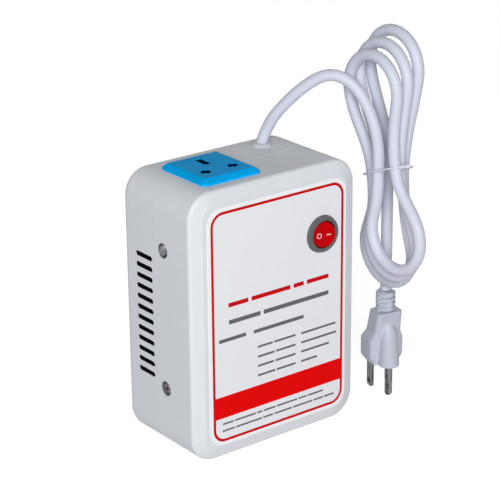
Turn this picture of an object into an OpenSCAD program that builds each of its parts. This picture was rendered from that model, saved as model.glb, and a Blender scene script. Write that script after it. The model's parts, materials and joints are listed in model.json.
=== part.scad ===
// Step-up voltage converter: a toroidal transformer in a two-part case, with a universal
// socket on top, a rocker switch on the front and a mains lead tied up in a hank.
// Millimetres: X to the right as seen from the front, Y to the back, Z up.
// The origin is the middle of the base, on the plane where the two covers meet.

/* [Case] */
// Width of the case
case_w = 120; // [112:1:150]
// Depth of the case
case_d = 68; // [66:1:90]
// Height of the case
case_h = 165; // [162:1:200]
// Thickness of the side, top and bottom walls
wall = 2.5; // [2:0.1:3]
// Thickness of the front and back walls
face_wall = 3; // [2.5:0.1:3.5]
// Radius of the case's corners seen from the front
corner_r = 16; // [12:0.5:18]
// Width of the sloped band round the front
band_w = 8; // [6:0.5:10]
// How far the sloped band falls back
band_fall = 2.5; // [1:0.25:3.5]
// Radius where the sloped band meets the sides
front_edge_r = 2.5; // [0.6:0.1:4]
// Radius of the edge round the back
rear_edge_r = 6; // [3:0.5:6]
// Open line between the two covers
seam_gap = 0.4; // [0.2:0.1:0.6]
// Clearance of parts that fit into each other
fit_gap = 0.2; // [0.1:0.05:0.3]
// Clearance of parts that are pressed or moulded in
close_gap = 0.05; // [0.02:0.01:0.08]

/* [Cover joint] */
// How far the rear cover's tongue reaches into the front cover
tongue_reach = 3; // [2:0.5:4]
// Thickness of the tongue
tongue_t = 1.2; // [1:0.1:1.6]
// Height of the lower screws
screw_low_z = 40.7; // [36:0.1:48]
// Height of the upper screws
screw_high_z = 126.2; // [120:0.1:132]
// Distance of the screws in front of the seam
screw_front = 6.4; // [6.2:0.1:9]
// Diameter of a case screw
screw_d = 3; // [2.5:0.1:3.5]
// Diameter of a case screw's head
screw_head_d = 8; // [6:0.1:8.2]
// Height of a case screw's head
screw_head_h = 2; // [1.6:0.1:2.2]
// Diameter of the recess that a head sits in
screw_recess_d = 9; // [8.4:0.1:9.6]
// Depth of that recess
screw_recess = 2.4; // [2.2:0.1:2.8]
// Wall left under a screw's head
screw_floor = 2.1; // [1.6:0.1:3]
// Thickness of the tabs that the screws bite into
tab_t = 6; // [5:0.5:7]
// Height of those tabs
tab_h = 12; // [10:0.5:14]

/* [Vents] */
// Slots on each side
vent_count = 12; // [6:1:12]
// Pitch of the slots
vent_pitch = 6.57; // [5:0.01:6.8]
// Length of a slot
vent_len = 16; // [10:0.5:18]
// Height of a slot
vent_h = 3; // [2:0.1:3.5]
// Height of the lowest slot
vent_low_z = 45.4; // [40:0.1:50]
// Distance of the slots behind the seam
vent_back = 4.5; // [4.5:0.1:7]
// Wall left between the slots, which is thinned from inside
vent_skin = 0.9; // [0.8:0.1:2]

/* [Label] */
// Width of the front label
label_w = 101; // [92:0.2:101]
// Height of the front label
label_h = 145.6; // [130:0.2:147]
// Middle of the label to the right of the case's middle
label_x = 1.4; // [0:0.1:1.6]
// Middle of the label above the base
label_z = 81.8; // [80:0.1:83]
// Corner radius of the label
label_r = 9.5; // [6:0.5:12]
// Thickness of the label's film
label_t = 0.25; // [0.1:0.05:0.4]

/* [Switch] */
// Switch to the right of the case's middle
switch_x = 33.8; // [26:0.1:36]
// Switch below the top of the case
switch_drop = 42.3; // [36:0.1:44]
// Diameter of the switch's body
switch_d = 20.1; // [19.6:0.1:21]
// Diameter of the bezel
bezel_d = 23; // [22.6:0.1:26]
// Height of the bezel
bezel_h = 2; // [1.4:0.1:2.4]
// How much smaller the bezel is at its front
bezel_taper = 0.8; // [0.4:0.1:1]
// Diameter of the rocker's round sides
rocker_d = 16; // [14.5:0.1:16.5]
// Gap round the rocker
rocker_gap = 0.35; // [0.2:0.05:0.5]
// Tilt of the rocker to either side
rocker_tilt = 10; // [6:0.5:10]
// Slope of each half of the rocker's face
rocker_dish = 5; // [2:0.5:6]
// Rocker's face in front of its pivot
rocker_face = 2.9; // [2.5:0.1:3.4]
// Rocker's pivot behind the label
pivot_depth = 0.25; // [0.1:0.05:1]
// Diameter of the rocker's pivot pins
pivot_pin_d = 2.4; // [2:0.1:2.8]
// Tilt of the seesaw contact to either side
seesaw_tilt = 8; // [5:0.5:8]

/* [Socket] */
// Socket's middle to the right of the case's middle
socket_x = -22.5; // [-24:0.5:-19]
// Socket's middle behind the seam
socket_y = -2.5; // [-3:0.5:2]
// Width of the socket's plate
plate_w = 41; // [38:0.5:42]
// Depth of the socket's plate
plate_d = 43; // [40:0.5:44]
// How far the plate overlaps the case on each side
plate_overlap = 3.2; // [2:0.1:3.5]
// Height of the plate
plate_h = 3.5; // [2.2:0.1:4.5]
// Height of the upright edge of the plate
plate_lip = 1.2; // [0.2:0.1:2]
// Width of the plate's bevel
plate_bevel = 3.2; // [1.5:0.1:3.4]
// Wall of the plate's skirt
skirt_t = 1.8; // [1.5:0.1:2]
// Length of the skirt
skirt_h = 12; // [11:0.5:13]
// Depth of the socket's base below the top of the case
base_depth = 18.5; // [18:0.5:20]
// Spacing of the two line apertures
line_pitch = 19; // [18.5:0.1:20]
// Line apertures in front of the socket's middle
line_front = 8; // [7:0.1:8.5]
// Middle of the earth aperture behind the socket's middle
earth_back = 8.6; // [8.4:0.1:9.5]

/* [Transformer] */
// Height of the transformer's axis
toroid_z = 62; // [60:0.5:64]
// Inner radius of the core
core_ir = 24; // [23:0.5:26]
// Outer radius of the core
core_or = 43; // [38:0.5:43]
// Length of the core along its axis
core_len = 32; // [24:0.5:33]
// Thickness of the core's insulation
insulation_t = 0.6; // [0.4:0.1:0.8]
// Thickness of the primary winding
primary_t = 2.2; // [1.5:0.1:2.4]
// Thickness of the secondary winding
secondary_t = 2; // [1.5:0.1:2.2]
// Thickness of the outer wrap
wrap_t = 0.8; // [0.5:0.1:1]
// Thickness of the pads
pad_t = 2; // [1:0.1:2.5]
// Thickness of the retaining plate
retainer_t = 1.5; // [1:0.1:2]
// Diameter of the centre bolt
bolt_d = 6; // [5:0.5:8]

/* [Lead] */
// Diameter of the mains lead
cord_d = 7; // [6:0.1:7]
// Distance of the lead from the right side of the case
gland_inset = 30; // [26:0.5:34]
// Lead behind the seam
gland_y = 17.5; // [15:0.5:19]
// Diameter of the gland's flange
gland_d = 13; // [12.4:0.1:15]
// Height of the gland above the case
gland_h = 2; // [1.6:0.1:3]
// Loops of the hank
hank_loops = 3; // [2:1:3]
// Distance from one loop to the next
hank_step = 8; // [7.8:0.1:8]
// Radius of the folds at both ends
fold_r = 21; // [20:0.5:22]
// Height of the tie round the hank's waist
tie_h = 1.2; // [1:0.1:3]
// Thickness of the tie
tie_t = 0.8; // [0.6:0.1:1.2]

/* [Plug] */
// Diameter of the ground pin
ground_d = 4.75; // [4.7:0.01:4.8]
// Length of the ground pin
ground_len = 20.6; // [19:0.1:22]
// Length of the blades
blade_len = 17.5; // [15:0.1:18.5]
// Width of a blade
blade_w = 6.3; // [6:0.1:6.6]
// Thickness of a blade
blade_t = 1.5; // [1.4:0.05:1.6]
// Spacing of the blades
blade_pitch = 12.7; // [12.5:0.1:12.9]
// Height of the plug's body
plug_h = 35.4; // [30:0.1:38]
// Width of the plug's body where it is widest
plug_w = 23.5; // [22:0.5:28]
// Depth of the plug's body there
plug_d = 15; // [14.5:0.5:18]
// Width of the plug's shoulders
plug_top_w = 18.5; // [16:0.5:22]
// Depth of the plug's shoulders
plug_top_d = 13; // [12.8:0.1:15]
// Ribs on the plug's strain relief
rib_count = 5; // [3:1:6]
// Length of the strain relief
relief_len = 13.5; // [12:0.5:18]
// Radius of the strain relief at the plug
relief_r = 6.3; // [5.5:0.1:6.4]

/* [Hidden] */
$fn = 64;

// Planes of the case
front_y = -case_d / 2;
back_y = case_d / 2;
front_in = front_y + face_wall;
back_in = back_y - face_wall;
side_in = case_w / 2 - wall;
top_in = case_h - wall;
label_y = front_y - label_t;

// Case screws and the tabs behind them
screw_heights = [screw_low_z, screw_high_z];
boss_r = screw_recess_d / 2 + 1.5;
boss_x = case_w / 2 - screw_recess - screw_floor;
tab_x = boss_x - fit_gap;
tab_root = 4.3;
screw_reach = screw_floor + fit_gap + tab_t + 0.7;

// Switch, from its front to its terminals
switch_z = case_h - switch_drop;
pivot_y = label_y + pivot_depth;
ball_r = rocker_d / 2;
bore_r = ball_r + rocker_gap;
stem_r = 2.6;
spring_bore_r = 1.75;
stem_end = 8;
spring_r = 1.3;
spring_wire = 0.5;
spring_from = 0.4;
spring_to = 4.6;
spring_turns = 6;
plunger_r = 1.6;
tip_r = 1.2;
tip_end = 14.3;
seesaw_back = 15.6;
seesaw_y = pivot_y + seesaw_back;
seesaw_rib_r = 0.8;
seesaw_half = 7;
seesaw_w = 5;
rivet_x = 5.5;
switch_floor = seesaw_y + 2.65;
switch_back = switch_floor + 2;
blade_x = 6.2;
tab_blade = [0.8, 4.8];
tab_blade_len = 8;
spade = [3, 6.4, 8];
spade_start = 0.5;

// Socket, measured from the top of the case
plate_r = 3.5;
socket_size = [plate_w, plate_d] - 2 * [plate_overlap, plate_overlap];
cutout_size = socket_size + 2 * [fit_gap, fit_gap];
skirt_inner = socket_size - 2 * [skirt_t, skirt_t];
base_size = skirt_inner - 2 * [fit_gap, fit_gap];
base_floor = case_h - base_depth + 2;
base_bottom = case_h - base_depth;
leaf_t = 0.6;
leaf_gap = 4.6;
leaf_w = 7;
earth_leaf_w = 9;
leaf_top = case_h - 3;
line_slot = [6.8, 4.4];
earth_slot = [4.4, 8.6];
socket_screw_y = -2;
socket_screw_d = 3;
socket_screw_top = case_h + plate_h - 1;

// Transformer, stacked forward from the back wall
shells_t = insulation_t + primary_t + secondary_t + wrap_t + 4 * close_gap;
toroid_or = core_or + shells_t;
toroid_back = back_in - pad_t;
toroid_y = toroid_back - core_len / 2 - shells_t;
toroid_front = toroid_back - core_len - 2 * shells_t;
front_pad_y = toroid_front - pad_t;
retainer_y = front_pad_y - retainer_t;
washer_t = 1.6;
washer_y = retainer_y - washer_t;
post_r = bolt_d / 2 + 5;
post_len = 12;
insert_r = bolt_d / 2 + 1;
insert_len = 10;
post_front = back_in - post_len;
tape_gap = 15;

// Lead inside the case
clamp_z = case_h - 15;
clamp_h = 8;
clamp_w = 28;
clamp_t = 6;
clamp_part = 0.8;
clamp_screw_x = 9.5;
clamp_screw_d = 3;
clamp_screw_bite = 8;
inner_head_r = 2.8;
inner_head_h = 2;
tail_drop = 25;
tail_end = case_h - tail_drop;
gland_x = case_w / 2 - gland_inset;
gland_neck_r = gland_d / 2 - 1;
gland_top = case_h + gland_h;

// Wires inside the case, and the room for them between the socket's connectors and the cutout
wire_d = 2;
thermal_size = [20, 8, 4];
thermal_sink = 0.6;
spade_end = base_bottom - spade_start - spade[2];
wire_room = spade_end - (toroid_z + toroid_or + thermal_size[2] - thermal_sink);
wire_dip = 0.46 * wire_room;

// Lead from the gland to the hank's waist: steps from the gland's top, chosen along its arch
lead_steps = [
    [0, 0, 0], [0, 0, 5.5], [1, -2, 11], [3, -4.5, 16.5], [5.5, -8.5, 21.5],
    [8, -12, 27], [11, -16, 32], [13.5, -20.5, 37], [17, -25.5, 41], [21, -31, 43.5],
    [25, -37, 44], [28.5, -42.5, 42], [32.5, -48, 38], [35, -52, 32.5], [37, -55, 26],
    [38, -56.5, 19], [39, -58, 12], [40, -59.5, 5], [40, -59.5, -3], [40, -59.5, -10]
];
lead_route = [for (step = lead_steps) [gland_x, gland_y, gland_top] + step];
lead_end = lead_route[len(lead_route) - 1];

// Hank: loops that lie in planes across X, each one step further out than the last
hank_x = lead_end[0];
lead_y = lead_end[1];
waist_z = lead_end[2] - cord_d;
waist_half = 16;
down_y = lead_y + waist_half;
down_step = 1.25;
up_y = lead_y - waist_half;
up_step = 6;
bottom_y = lead_y - waist_half;
bottom_step = 12;
bottom_reach = 51;
bottom_reach_step = 9.5;
bottom_lean = 20;
top_y = lead_y + 6;
top_reach = 74;
top_reach_step = 6;
top_lean = 10;
run_rings = 3;
fold_rings = 6;

// The tie's ring rises towards the front and the left by these shares of its length
tie_rise_x = -0.23;
tie_rise_y = -0.3;
tie_slack = 1.3;
tie_end = 7;
tie_end_r = 0.9;

// Plug, standing on its ground pin under the last run of the hank
plug_x = hank_x + hank_step * hank_loops;
plug_y = down_y + down_step * (hank_loops - 1);
plug_turn = -12.5;
ground_y = -5.4;
blade_y = 6.5;
face_z = ground_len;
shoulder_z = face_z + plug_h;
relief_top = shoulder_z + relief_len;
pin_root = 9;
pin_neck = 0.4;
plug_mid = 4;
plug_rim = 3;
face_inset = [3, 0.4];
flare_from = 4;
flare_len = 4;
hump_r = 6.5;
hump_top_r = 4;
hump_top_y = -1.4;
hump_drop = 9;

function unit(v) = v / norm(v);

// Directions along a route of points
function headings(p) = [
    for (i = [0 : len(p) - 1])
        unit(p[min(i + 1, len(p) - 1)] - p[max(i - 1, 0)])
];

// A side direction carried along the headings without twist
function sides_along(t, u, i = 0) =
    i == len(t) ? [] :
    let (w = unit(u - (u * t[i]) * t[i]))
    concat([w], sides_along(t, w, i + 1));

// A tube of n sides along a route of points; u is a direction across its start
module tube(route, d, n, u) {
    t = headings(route);
    s = sides_along(t, u);
    last = len(route) - 1;
    points = [
        for (i = [0 : last])
            let (v = cross(t[i], s[i]))
            for (k = [0 : n - 1])
                route[i] + d / 2 * (cos(360 * k / n) * s[i] + sin(360 * k / n) * v)
    ];
    walls = [
        for (i = [0 : last - 1])
            for (k = [0 : n - 1])
                let (a = i * n + k, b = i * n + (k + 1) % n)
                each [[a, a + n, b], [b, a + n, b + n]]
    ];
    start_cap = [for (k = [1 : n - 2]) [0, k, k + 1]];
    end_cap = [for (k = [1 : n - 2]) [last * n, last * n + k + 1, last * n + k]];
    polyhedron(points, concat(walls, start_cap, end_cap));
}

// Round bars along each axis
module rod_x(r, x0, x1) {
    translate([x0, 0, 0])
        rotate([0, 90, 0])
            cylinder(h = x1 - x0, r = r);
}

module rod_y(r, y0, y1) {
    translate([0, y1, 0])
        rotate([90, 0, 0])
            cylinder(h = y1 - y0, r = r);
}

module rod_z(r, z0, z1) {
    translate([0, 0, z0])
        cylinder(h = z1 - z0, r = r);
}

// A box from one corner to the opposite one
module block(a, b) {
    translate(a)
        cube(b - a);
}

module rounded_rect(w, h, r) {
    square([w - 2 * r, h], center = true);
    square([w, h - 2 * r], center = true);
    for (x = [-1, 1])
        for (y = [-1, 1])
            translate([x * (w / 2 - r), y * (h / 2 - r)])
                circle(r);
}

// The case's outline, drawn in by inset, from y0 to y1
module case_prism(inset, y0, y1) {
    translate([0, y1, case_h / 2])
        rotate([90, 0, 0])
            linear_extrude(y1 - y0)
                rounded_rect(case_w - 2 * inset, case_h - 2 * inset, corner_r - inset);
}

// A slab of w by h by t with corner radius r, whose rim follows the profile given as a child
module rim_slab(w, h, r, t) {
    translate([r - w / 2, r - h / 2, 0])
        cube([w - 2 * r, h - 2 * r, t]);
    for (turn = [0 : 3]) {
        a = turn % 2 == 0 ? w : h;
        b = turn % 2 == 0 ? h : w;
        rotate([0, 0, 90 * turn]) {
            translate([a / 2 - r, b / 2 - r, 0])
                rotate([90, 0, 0])
                    linear_extrude(b - 2 * r)
                        children();
            translate([a / 2 - r, b / 2 - r, 0])
                rotate_extrude(angle = 90)
                    children();
        }
    }
}

module front_rim() {
    t = case_d / 2;
    slant = norm([band_w, band_fall]);
    rim_y = t - band_fall - front_edge_r * (slant - band_fall) / band_w;
    edge = [corner_r - front_edge_r, rim_y];
    polygon([
        [0, seam_gap], [corner_r, seam_gap], [corner_r, rim_y],
        edge + front_edge_r * [band_fall, band_w] / slant,
        [corner_r - band_w, t], [0, t]
    ]);
    translate(edge)
        circle(front_edge_r);
}

module rear_rim() {
    t = case_d / 2;
    polygon([
        [0, 0], [corner_r, 0], [corner_r, t - rear_edge_r], [corner_r - rear_edge_r, t], [0, t]
    ]);
    translate([corner_r - rear_edge_r, t - rear_edge_r])
        circle(rear_edge_r);
}

// Places of the four case screws, pointing inwards along +X
module at_case_screws() {
    for (side = [0, 1])
        mirror([side, 0, 0])
            for (z = screw_heights)
                translate([-case_w / 2, -screw_front, z])
                    children();
}

module socket_cutout() {
    translate([socket_x, socket_y, case_h])
        cube([cutout_size[0], cutout_size[1], 4 * wall], center = true);
}

module front_cover() {
    boss_len = case_w / 2 - boss_x;
    color("whitesmoke")
        difference() {
            union() {
                difference() {
                    translate([0, 0, case_h / 2])
                        rotate([90, 0, 0])
                            rim_slab(case_w, case_h, corner_r, case_d / 2)
                                front_rim();
                    case_prism(wall, front_in, 1);
                    case_prism(-1, -seam_gap, 1);
                }
                at_case_screws()
                    rod_x(boss_r, wall / 2, boss_len);
            }
            at_case_screws() {
                rod_x(screw_recess_d / 2, -1, screw_recess);
                rod_x(screw_d / 2 + fit_gap, -1, boss_len + 1);
            }
            socket_cutout();
            translate([switch_x, 0, switch_z])
                rod_y(switch_d / 2 + fit_gap / 2, front_y - 1, front_in + 1);
        }
}

module vent_slot() {
    span = vent_len - vent_h;
    translate([vent_back + vent_len / 2, 0]) {
        square([span, vent_h], center = true);
        for (end = [-1, 1])
            translate([end * span / 2, 0])
                circle(vent_h / 2);
    }
}

// The field of slots that is thinned from inside, from x0 to x1 and drawn in by gap
module vent_field(x0, x1, gap) {
    margin = vent_h / 2 + 1 - gap;
    vent_high_z = vent_low_z + vent_pitch * (vent_count - 1);
    block(
        [x0, vent_back + gap, vent_low_z - margin],
        [x1, vent_back + vent_len + 1 - gap, vent_high_z + margin]
    );
}

// Foam behind the slots that keeps dust out
module vent_screens() {
    color("black")
        for (side = [0, 1])
            mirror([side, 0, 0])
                vent_field(side_in, case_w / 2 - vent_skin - close_gap, close_gap);
}

// The tongue that lines up the two covers, with room for the screw tabs and the socket
module tongue() {
    outer = wall + fit_gap;
    inner = outer + tongue_t;
    difference() {
        union() {
            case_prism(outer, -tongue_reach, 1);
            case_prism(wall / 2, 0.001, tab_root);
        }
        case_prism(inner, -tongue_reach - 1, tab_root + 1);
        for (z = screw_heights)
            block([-case_w, -tongue_reach - 1, z - tab_h / 2 - 1.5], [case_w, 0, z + tab_h / 2 + 1.5]);
        translate([socket_x, 0, case_h])
            cube([plate_w, 4 * tab_root, 8 * wall], center = true);
    }
}

module screw_tabs() {
    for (side = [0, 1])
        mirror([side, 0, 0])
            for (z = screw_heights)
                translate([0, 0, z]) {
                    block([tab_x - tab_t, -screw_front - 6, -tab_h / 2], [tab_x, tab_root, tab_h / 2]);
                    block([tab_x - tab_t, 0, -tab_h / 2], [side_in + wall / 2, tab_root, tab_h / 2]);
                }
}

module clamp_saddle() {
    translate([gland_x, 0, clamp_z])
        block(
            [-clamp_w / 2, gland_y + clamp_part / 2, -clamp_h / 2],
            [clamp_w / 2, back_in + face_wall / 2, clamp_h / 2]
        );
}

module rear_cover() {
    color("whitesmoke")
        difference() {
            union() {
                difference() {
                    translate([0, 0, case_h / 2])
                        mirror([0, 1, 0])
                            rotate([90, 0, 0])
                                rim_slab(case_w, case_h, corner_r, case_d / 2)
                                    rear_rim();
                    case_prism(wall, -1, back_in);
                }
                tongue();
                screw_tabs();
                clamp_saddle();
                translate([0, 0, toroid_z])
                    rod_y(post_r, post_front, back_in + face_wall / 2);
            }
            at_case_screws()
                rod_x(screw_d / 2 + close_gap, 0, case_w / 4);
            for (side = [0, 1])
                mirror([side, 0, 0]) {
                    for (i = [0 : vent_count - 1])
                        translate([side_in - 1, 0, vent_low_z + vent_pitch * i])
                            rotate([90, 0, 90])
                                linear_extrude(wall + 2)
                                    vent_slot();
                    vent_field(side_in - 1, case_w / 2 - vent_skin, 0);
                }
            socket_cutout();
            translate([gland_x, gland_y, 0]) {
                rod_z(gland_neck_r + close_gap, top_in - 1, case_h + 1);
                rod_z(cord_d / 2 + close_gap, clamp_z - clamp_h, clamp_z + clamp_h);
            }
            at_clamp_screws()
                rod_y(clamp_screw_d / 2 + close_gap, 0, gland_y + clamp_screw_bite + 1);
            translate([0, 0, toroid_z])
                rod_y(insert_r + close_gap, post_front - 1, post_front + insert_len);
        }
}

module front_label() {
    color("white")
        difference() {
            translate([label_x, front_y, label_z])
                rotate([90, 0, 0])
                    linear_extrude(label_t)
                        rounded_rect(label_w, label_h, label_r);
            translate([switch_x, 0, switch_z])
                rod_y(switch_d / 2 + fit_gap, label_y - 1, front_y + 1);
        }
}

module case_screws() {
    color("silver")
        at_case_screws()
            difference() {
                union() {
                    rod_x(screw_head_d / 2, screw_recess - screw_head_h, screw_recess);
                    rod_x(screw_d / 2, screw_recess - 0.5, screw_recess + screw_reach);
                }
                cross_recess(screw_head_d * 0.6, screw_recess - screw_head_h);
            }
}

// A cross slot for a driver, cut into a head that starts at x0 and points along +X
module cross_recess(span, x0) {
    depth = 1.2;
    arm = 1;
    for (turn = [0, 90])
        rotate([turn, 0, 0])
            block([x0 - 1, -span / 2, -arm / 2], [x0 + depth, span / 2, arm / 2]);
}

module at_socket() {
    translate([socket_x, socket_y, 0])
        children();
}

// The two line positions: -1 is live, 1 is neutral
module at_line(side) {
    at_socket()
        translate([side * line_pitch / 2, -line_front, 0])
            children();
}

module at_earth() {
    at_socket()
        translate([0, earth_back, 0])
            children();
}

// One line aperture: a flat slot, an upright slot and a round hole over each other
module line_aperture() {
    square(line_slot, center = true);
    square([2, 7.4], center = true);
    circle(2.7);
}

module earth_aperture() {
    square(earth_slot, center = true);
    translate([0, -earth_slot[1] / 2])
        circle(2.4);
}

module socket_faceplate() {
    lug = [0.8, 10, 3];
    color("steelblue")
        difference() {
            union() {
                at_socket()
                    translate([0, 0, case_h])
                        rim_slab(plate_w, plate_d, plate_r, plate_h)
                            polygon([
                                [0, 0], [plate_r, 0], [plate_r, plate_lip],
                                [plate_r - plate_bevel, plate_h], [0, plate_h]
                            ]);
                at_socket()
                    translate([0, 0, case_h - skirt_h])
                        linear_extrude(skirt_h)
                            difference() {
                                square(socket_size, center = true);
                                square(skirt_inner, center = true);
                            }
                at_socket()
                    for (side = [-1, 1])
                        translate([side * (socket_size[0] + lug[0]) / 2, 0, top_in - close_gap - lug[2] / 2])
                            cube(lug + [0.02, 0, 0], center = true);
            }
            for (side = [-1, 1])
                at_line(side)
                    translate([0, 0, case_h - 1])
                        linear_extrude(plate_h + 2)
                            line_aperture();
            at_earth()
                translate([0, 0, case_h - 1])
                    linear_extrude(plate_h + 2)
                        earth_aperture();
            at_socket()
                translate([0, socket_screw_y, 0])
                    rod_z(socket_screw_d / 2 + close_gap, case_h - 1, socket_screw_top + close_gap);
        }
}

module socket_base() {
    flange_top = case_h - skirt_h - close_gap;
    flange_t = 2;
    slot = tab_blade + 4 * [close_gap, close_gap];
    color("ivory")
        difference() {
            at_socket() {
                translate([0, 0, base_bottom])
                    linear_extrude(base_depth - close_gap)
                        square(base_size, center = true);
                translate([0, 0, flange_top - flange_t])
                    linear_extrude(flange_t)
                        square(socket_size, center = true);
            }
            for (side = [-1, 1])
                at_line(side) {
                    well(leaf_w + 1, leaf_gap + 2 * leaf_t + 1);
                    translate([0, 0, base_floor])
                        cube([slot[1], slot[0], 8], center = true);
                }
            at_earth() {
                well(leaf_gap + 2 * leaf_t + 1, earth_leaf_w + 1.4);
                translate([0, 0, base_floor])
                    cube([slot[0], slot[1], 8], center = true);
            }
            at_socket()
                translate([0, socket_screw_y, 0])
                    rod_z(socket_screw_d / 2 + fit_gap, base_bottom - 1, case_h + 1);
        }
}

module well(x, y) {
    block([-x / 2, -y / 2, base_floor], [x / 2, y / 2, case_h + 1]);
}

// A pair of contact leaves of width w facing each other across Y, on a bridge with a tab below
module contact_clip(w) {
    half = leaf_gap / 2 + leaf_t;
    block([-w / 2, -half, base_floor], [w / 2, half, base_floor + leaf_t]);
    for (side = [0, 1])
        mirror([0, side, 0])
            block([-w / 2, leaf_gap / 2, base_floor], [w / 2, half, leaf_top]);
    block(
        [-tab_blade[1] / 2, -tab_blade[0] / 2, base_bottom - tab_blade_len],
        [tab_blade[1] / 2, tab_blade[0] / 2, base_floor + leaf_t]
    );
}

module socket_live_contact() {
    color("goldenrod")
        at_line(-1)
            contact_clip(leaf_w);
}

module socket_neutral_contact() {
    color("goldenrod")
        at_line(1)
            contact_clip(leaf_w);
}

module socket_earth_contact() {
    color("goldenrod")
        at_earth()
            rotate([0, 0, 90])
                contact_clip(earth_leaf_w);
}

module socket_screw() {
    color("silver")
        at_socket()
            translate([0, socket_screw_y, 0]) {
                rod_z(inner_head_r, base_bottom - inner_head_h, base_bottom);
                rod_z(socket_screw_d / 2, base_bottom - inner_head_h / 2, socket_screw_top);
            }
}

module at_switch() {
    translate([switch_x, 0, switch_z])
        children();
}

module switch_body() {
    slot = tab_blade + 2 * [close_gap, close_gap];
    lug = [1.2, 3.5, 6];
    pin_pocket = switch_d / 2 - 0.1;
    color("dimgray")
        at_switch()
            difference() {
                union() {
                    translate([0, label_y, 0])
                        rotate([90, 0, 0])
                            cylinder(h = bezel_h, r1 = bezel_d / 2, r2 = bezel_d / 2 - bezel_taper);
                    rod_y(switch_d / 2, label_y - 0.5, switch_back);
                    for (side = [-1, 1])
                        translate([side * switch_d / 2, front_in + close_gap + lug[1] / 2, 0])
                            cube(lug, center = true);
                }
                rod_y(bore_r, label_y - bezel_h - 1, switch_floor);
                translate([0, pivot_y, 0])
                    rod_z(pivot_pin_d / 2 + close_gap, -pin_pocket, pin_pocket);
                for (x = [0, -blade_x])
                    translate([x, switch_floor, 0])
                        cube([slot[0], 8, slot[1]], center = true);
            }
}

// The rocker's own frame: origin on its pivot, tilted to the off side at rest
module at_rocker() {
    at_switch()
        translate([0, pivot_y, 0])
            rotate([0, 0, -rocker_tilt])
                children();
}

module switch_rocker() {
    rise = ball_r * tan(rocker_dish);
    pin_reach = switch_d / 2 - 0.15;
    foot = 3.5;
    color("crimson")
        at_rocker()
            difference() {
                union() {
                    intersection() {
                        sphere(ball_r);
                        linear_extrude(rocker_d, center = true)
                            polygon([
                                [-ball_r, foot], [-ball_r, -rocker_face - rise], [0, -rocker_face],
                                [ball_r, -rocker_face - rise], [ball_r, foot]
                            ]);
                    }
                    rod_z(pivot_pin_d / 2, -pin_reach, pin_reach);
                    rod_y(stem_r, foot - 0.5, stem_end);
                }
                rod_y(spring_bore_r, 0, stem_end + 1);
            }
}

module switch_spring() {
    rings = 8;
    coil_len = spring_to - spring_from;
    route = [
        for (i = [0 : rings * spring_turns])
            let (a = 360 * i / rings)
            [
                spring_r * cos(a),
                spring_from + coil_len * i / (rings * spring_turns),
                spring_r * sin(a)
            ]
    ];
    color("silver")
        at_rocker()
            tube(route, spring_wire, 6, [1, 0, 0]);
}

module switch_plunger() {
    head = spring_to + spring_wire / 2 + close_gap;
    color("ivory")
        at_rocker() {
            rod_y(plunger_r, head, stem_end + 1);
            rod_y(tip_r, stem_end, tip_end - tip_r);
            translate([0, tip_end - tip_r, 0])
                sphere(tip_r);
        }
}

module switch_seesaw() {
    strip = [-1, -0.2];
    color("peru")
        at_switch()
            translate([0, seesaw_y, 0])
                rotate([0, 0, seesaw_tilt]) {
                    block([-seesaw_half, strip[0], -seesaw_w / 2], [seesaw_half, strip[1], seesaw_w / 2]);
                    rod_z(seesaw_rib_r, -seesaw_w / 2, seesaw_w / 2);
                    translate([-rivet_x, 0, 0])
                        rod_y(1.2, strip[0], 0.4);
                }
}

// A blade from the switch's floor back to where its spade connector sits
module switch_blade() {
    block(
        [-tab_blade[0] / 2, switch_floor - 1, -tab_blade[1] / 2],
        [tab_blade[0] / 2, switch_back + tab_blade_len, tab_blade[1] / 2]
    );
}

module switch_common_terminal() {
    color("goldenrod")
        at_switch()
            difference() {
                union() {
                    block(
                        [-1.5, seesaw_y + 0.2, -tab_blade[1] / 2],
                        [1.5, switch_floor - close_gap, tab_blade[1] / 2]
                    );
                    switch_blade();
                }
                translate([0, seesaw_y, 0])
                    rod_z(seesaw_rib_r + close_gap, -seesaw_w, seesaw_w);
            }
}

module switch_line_terminal() {
    color("goldenrod")
        at_switch() {
            block(
                [-rivet_x - 1.5, seesaw_y + 1.5, -tab_blade[1] / 2],
                [-rivet_x + 1.5, switch_floor - close_gap, tab_blade[1] / 2]
            );
            translate([-blade_x, 0, 0])
                switch_blade();
        }
}

module cord_gland() {
    bore = cord_d / 2 + close_gap;
    flange = gland_d / 2;
    color("gainsboro")
        translate([gland_x, gland_y, case_h])
            rotate_extrude()
                polygon([
                    [bore, -wall - close_gap - 1.5], [flange, -wall - close_gap - 1.5],
                    [flange, -wall - close_gap], [gland_neck_r, -wall - close_gap],
                    [gland_neck_r, 0], [flange, 0], [flange, 0.4 * gland_h],
                    [flange - 0.7, 0.75 * gland_h], [flange - 1.8, gland_h], [bore, gland_h]
                ]);
}

module at_clamp_screws() {
    for (side = [-1, 1])
        translate([gland_x + side * clamp_screw_x, 0, clamp_z])
            children();
}

module cord_clamp() {
    front = gland_y - clamp_t;
    color("gray")
        difference() {
            translate([gland_x, 0, clamp_z])
                block(
                    [-clamp_w / 2, front, -clamp_h / 2],
                    [clamp_w / 2, gland_y - clamp_part / 2, clamp_h / 2]
                );
            translate([gland_x, gland_y, 0])
                rod_z(cord_d / 2 + close_gap, clamp_z - clamp_h, clamp_z + clamp_h);
            at_clamp_screws()
                rod_y(clamp_screw_d / 2 + fit_gap, front - 1, gland_y);
        }
}

module cord_clamp_screws() {
    front = gland_y - clamp_t;
    color("silver")
        at_clamp_screws() {
            rod_y(inner_head_r, front - inner_head_h, front);
            rod_y(clamp_screw_d / 2, front - inner_head_h / 2, gland_y + clamp_screw_bite);
        }
}

module cord_tail() {
    color("lavender")
        translate([gland_x, gland_y, 0])
            rod_z(cord_d / 2, tail_end, gland_top);
}

module cord_lead() {
    color("lavender")
        tube(lead_route, cord_d, 10, [1, 0, 0]);
}

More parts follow.
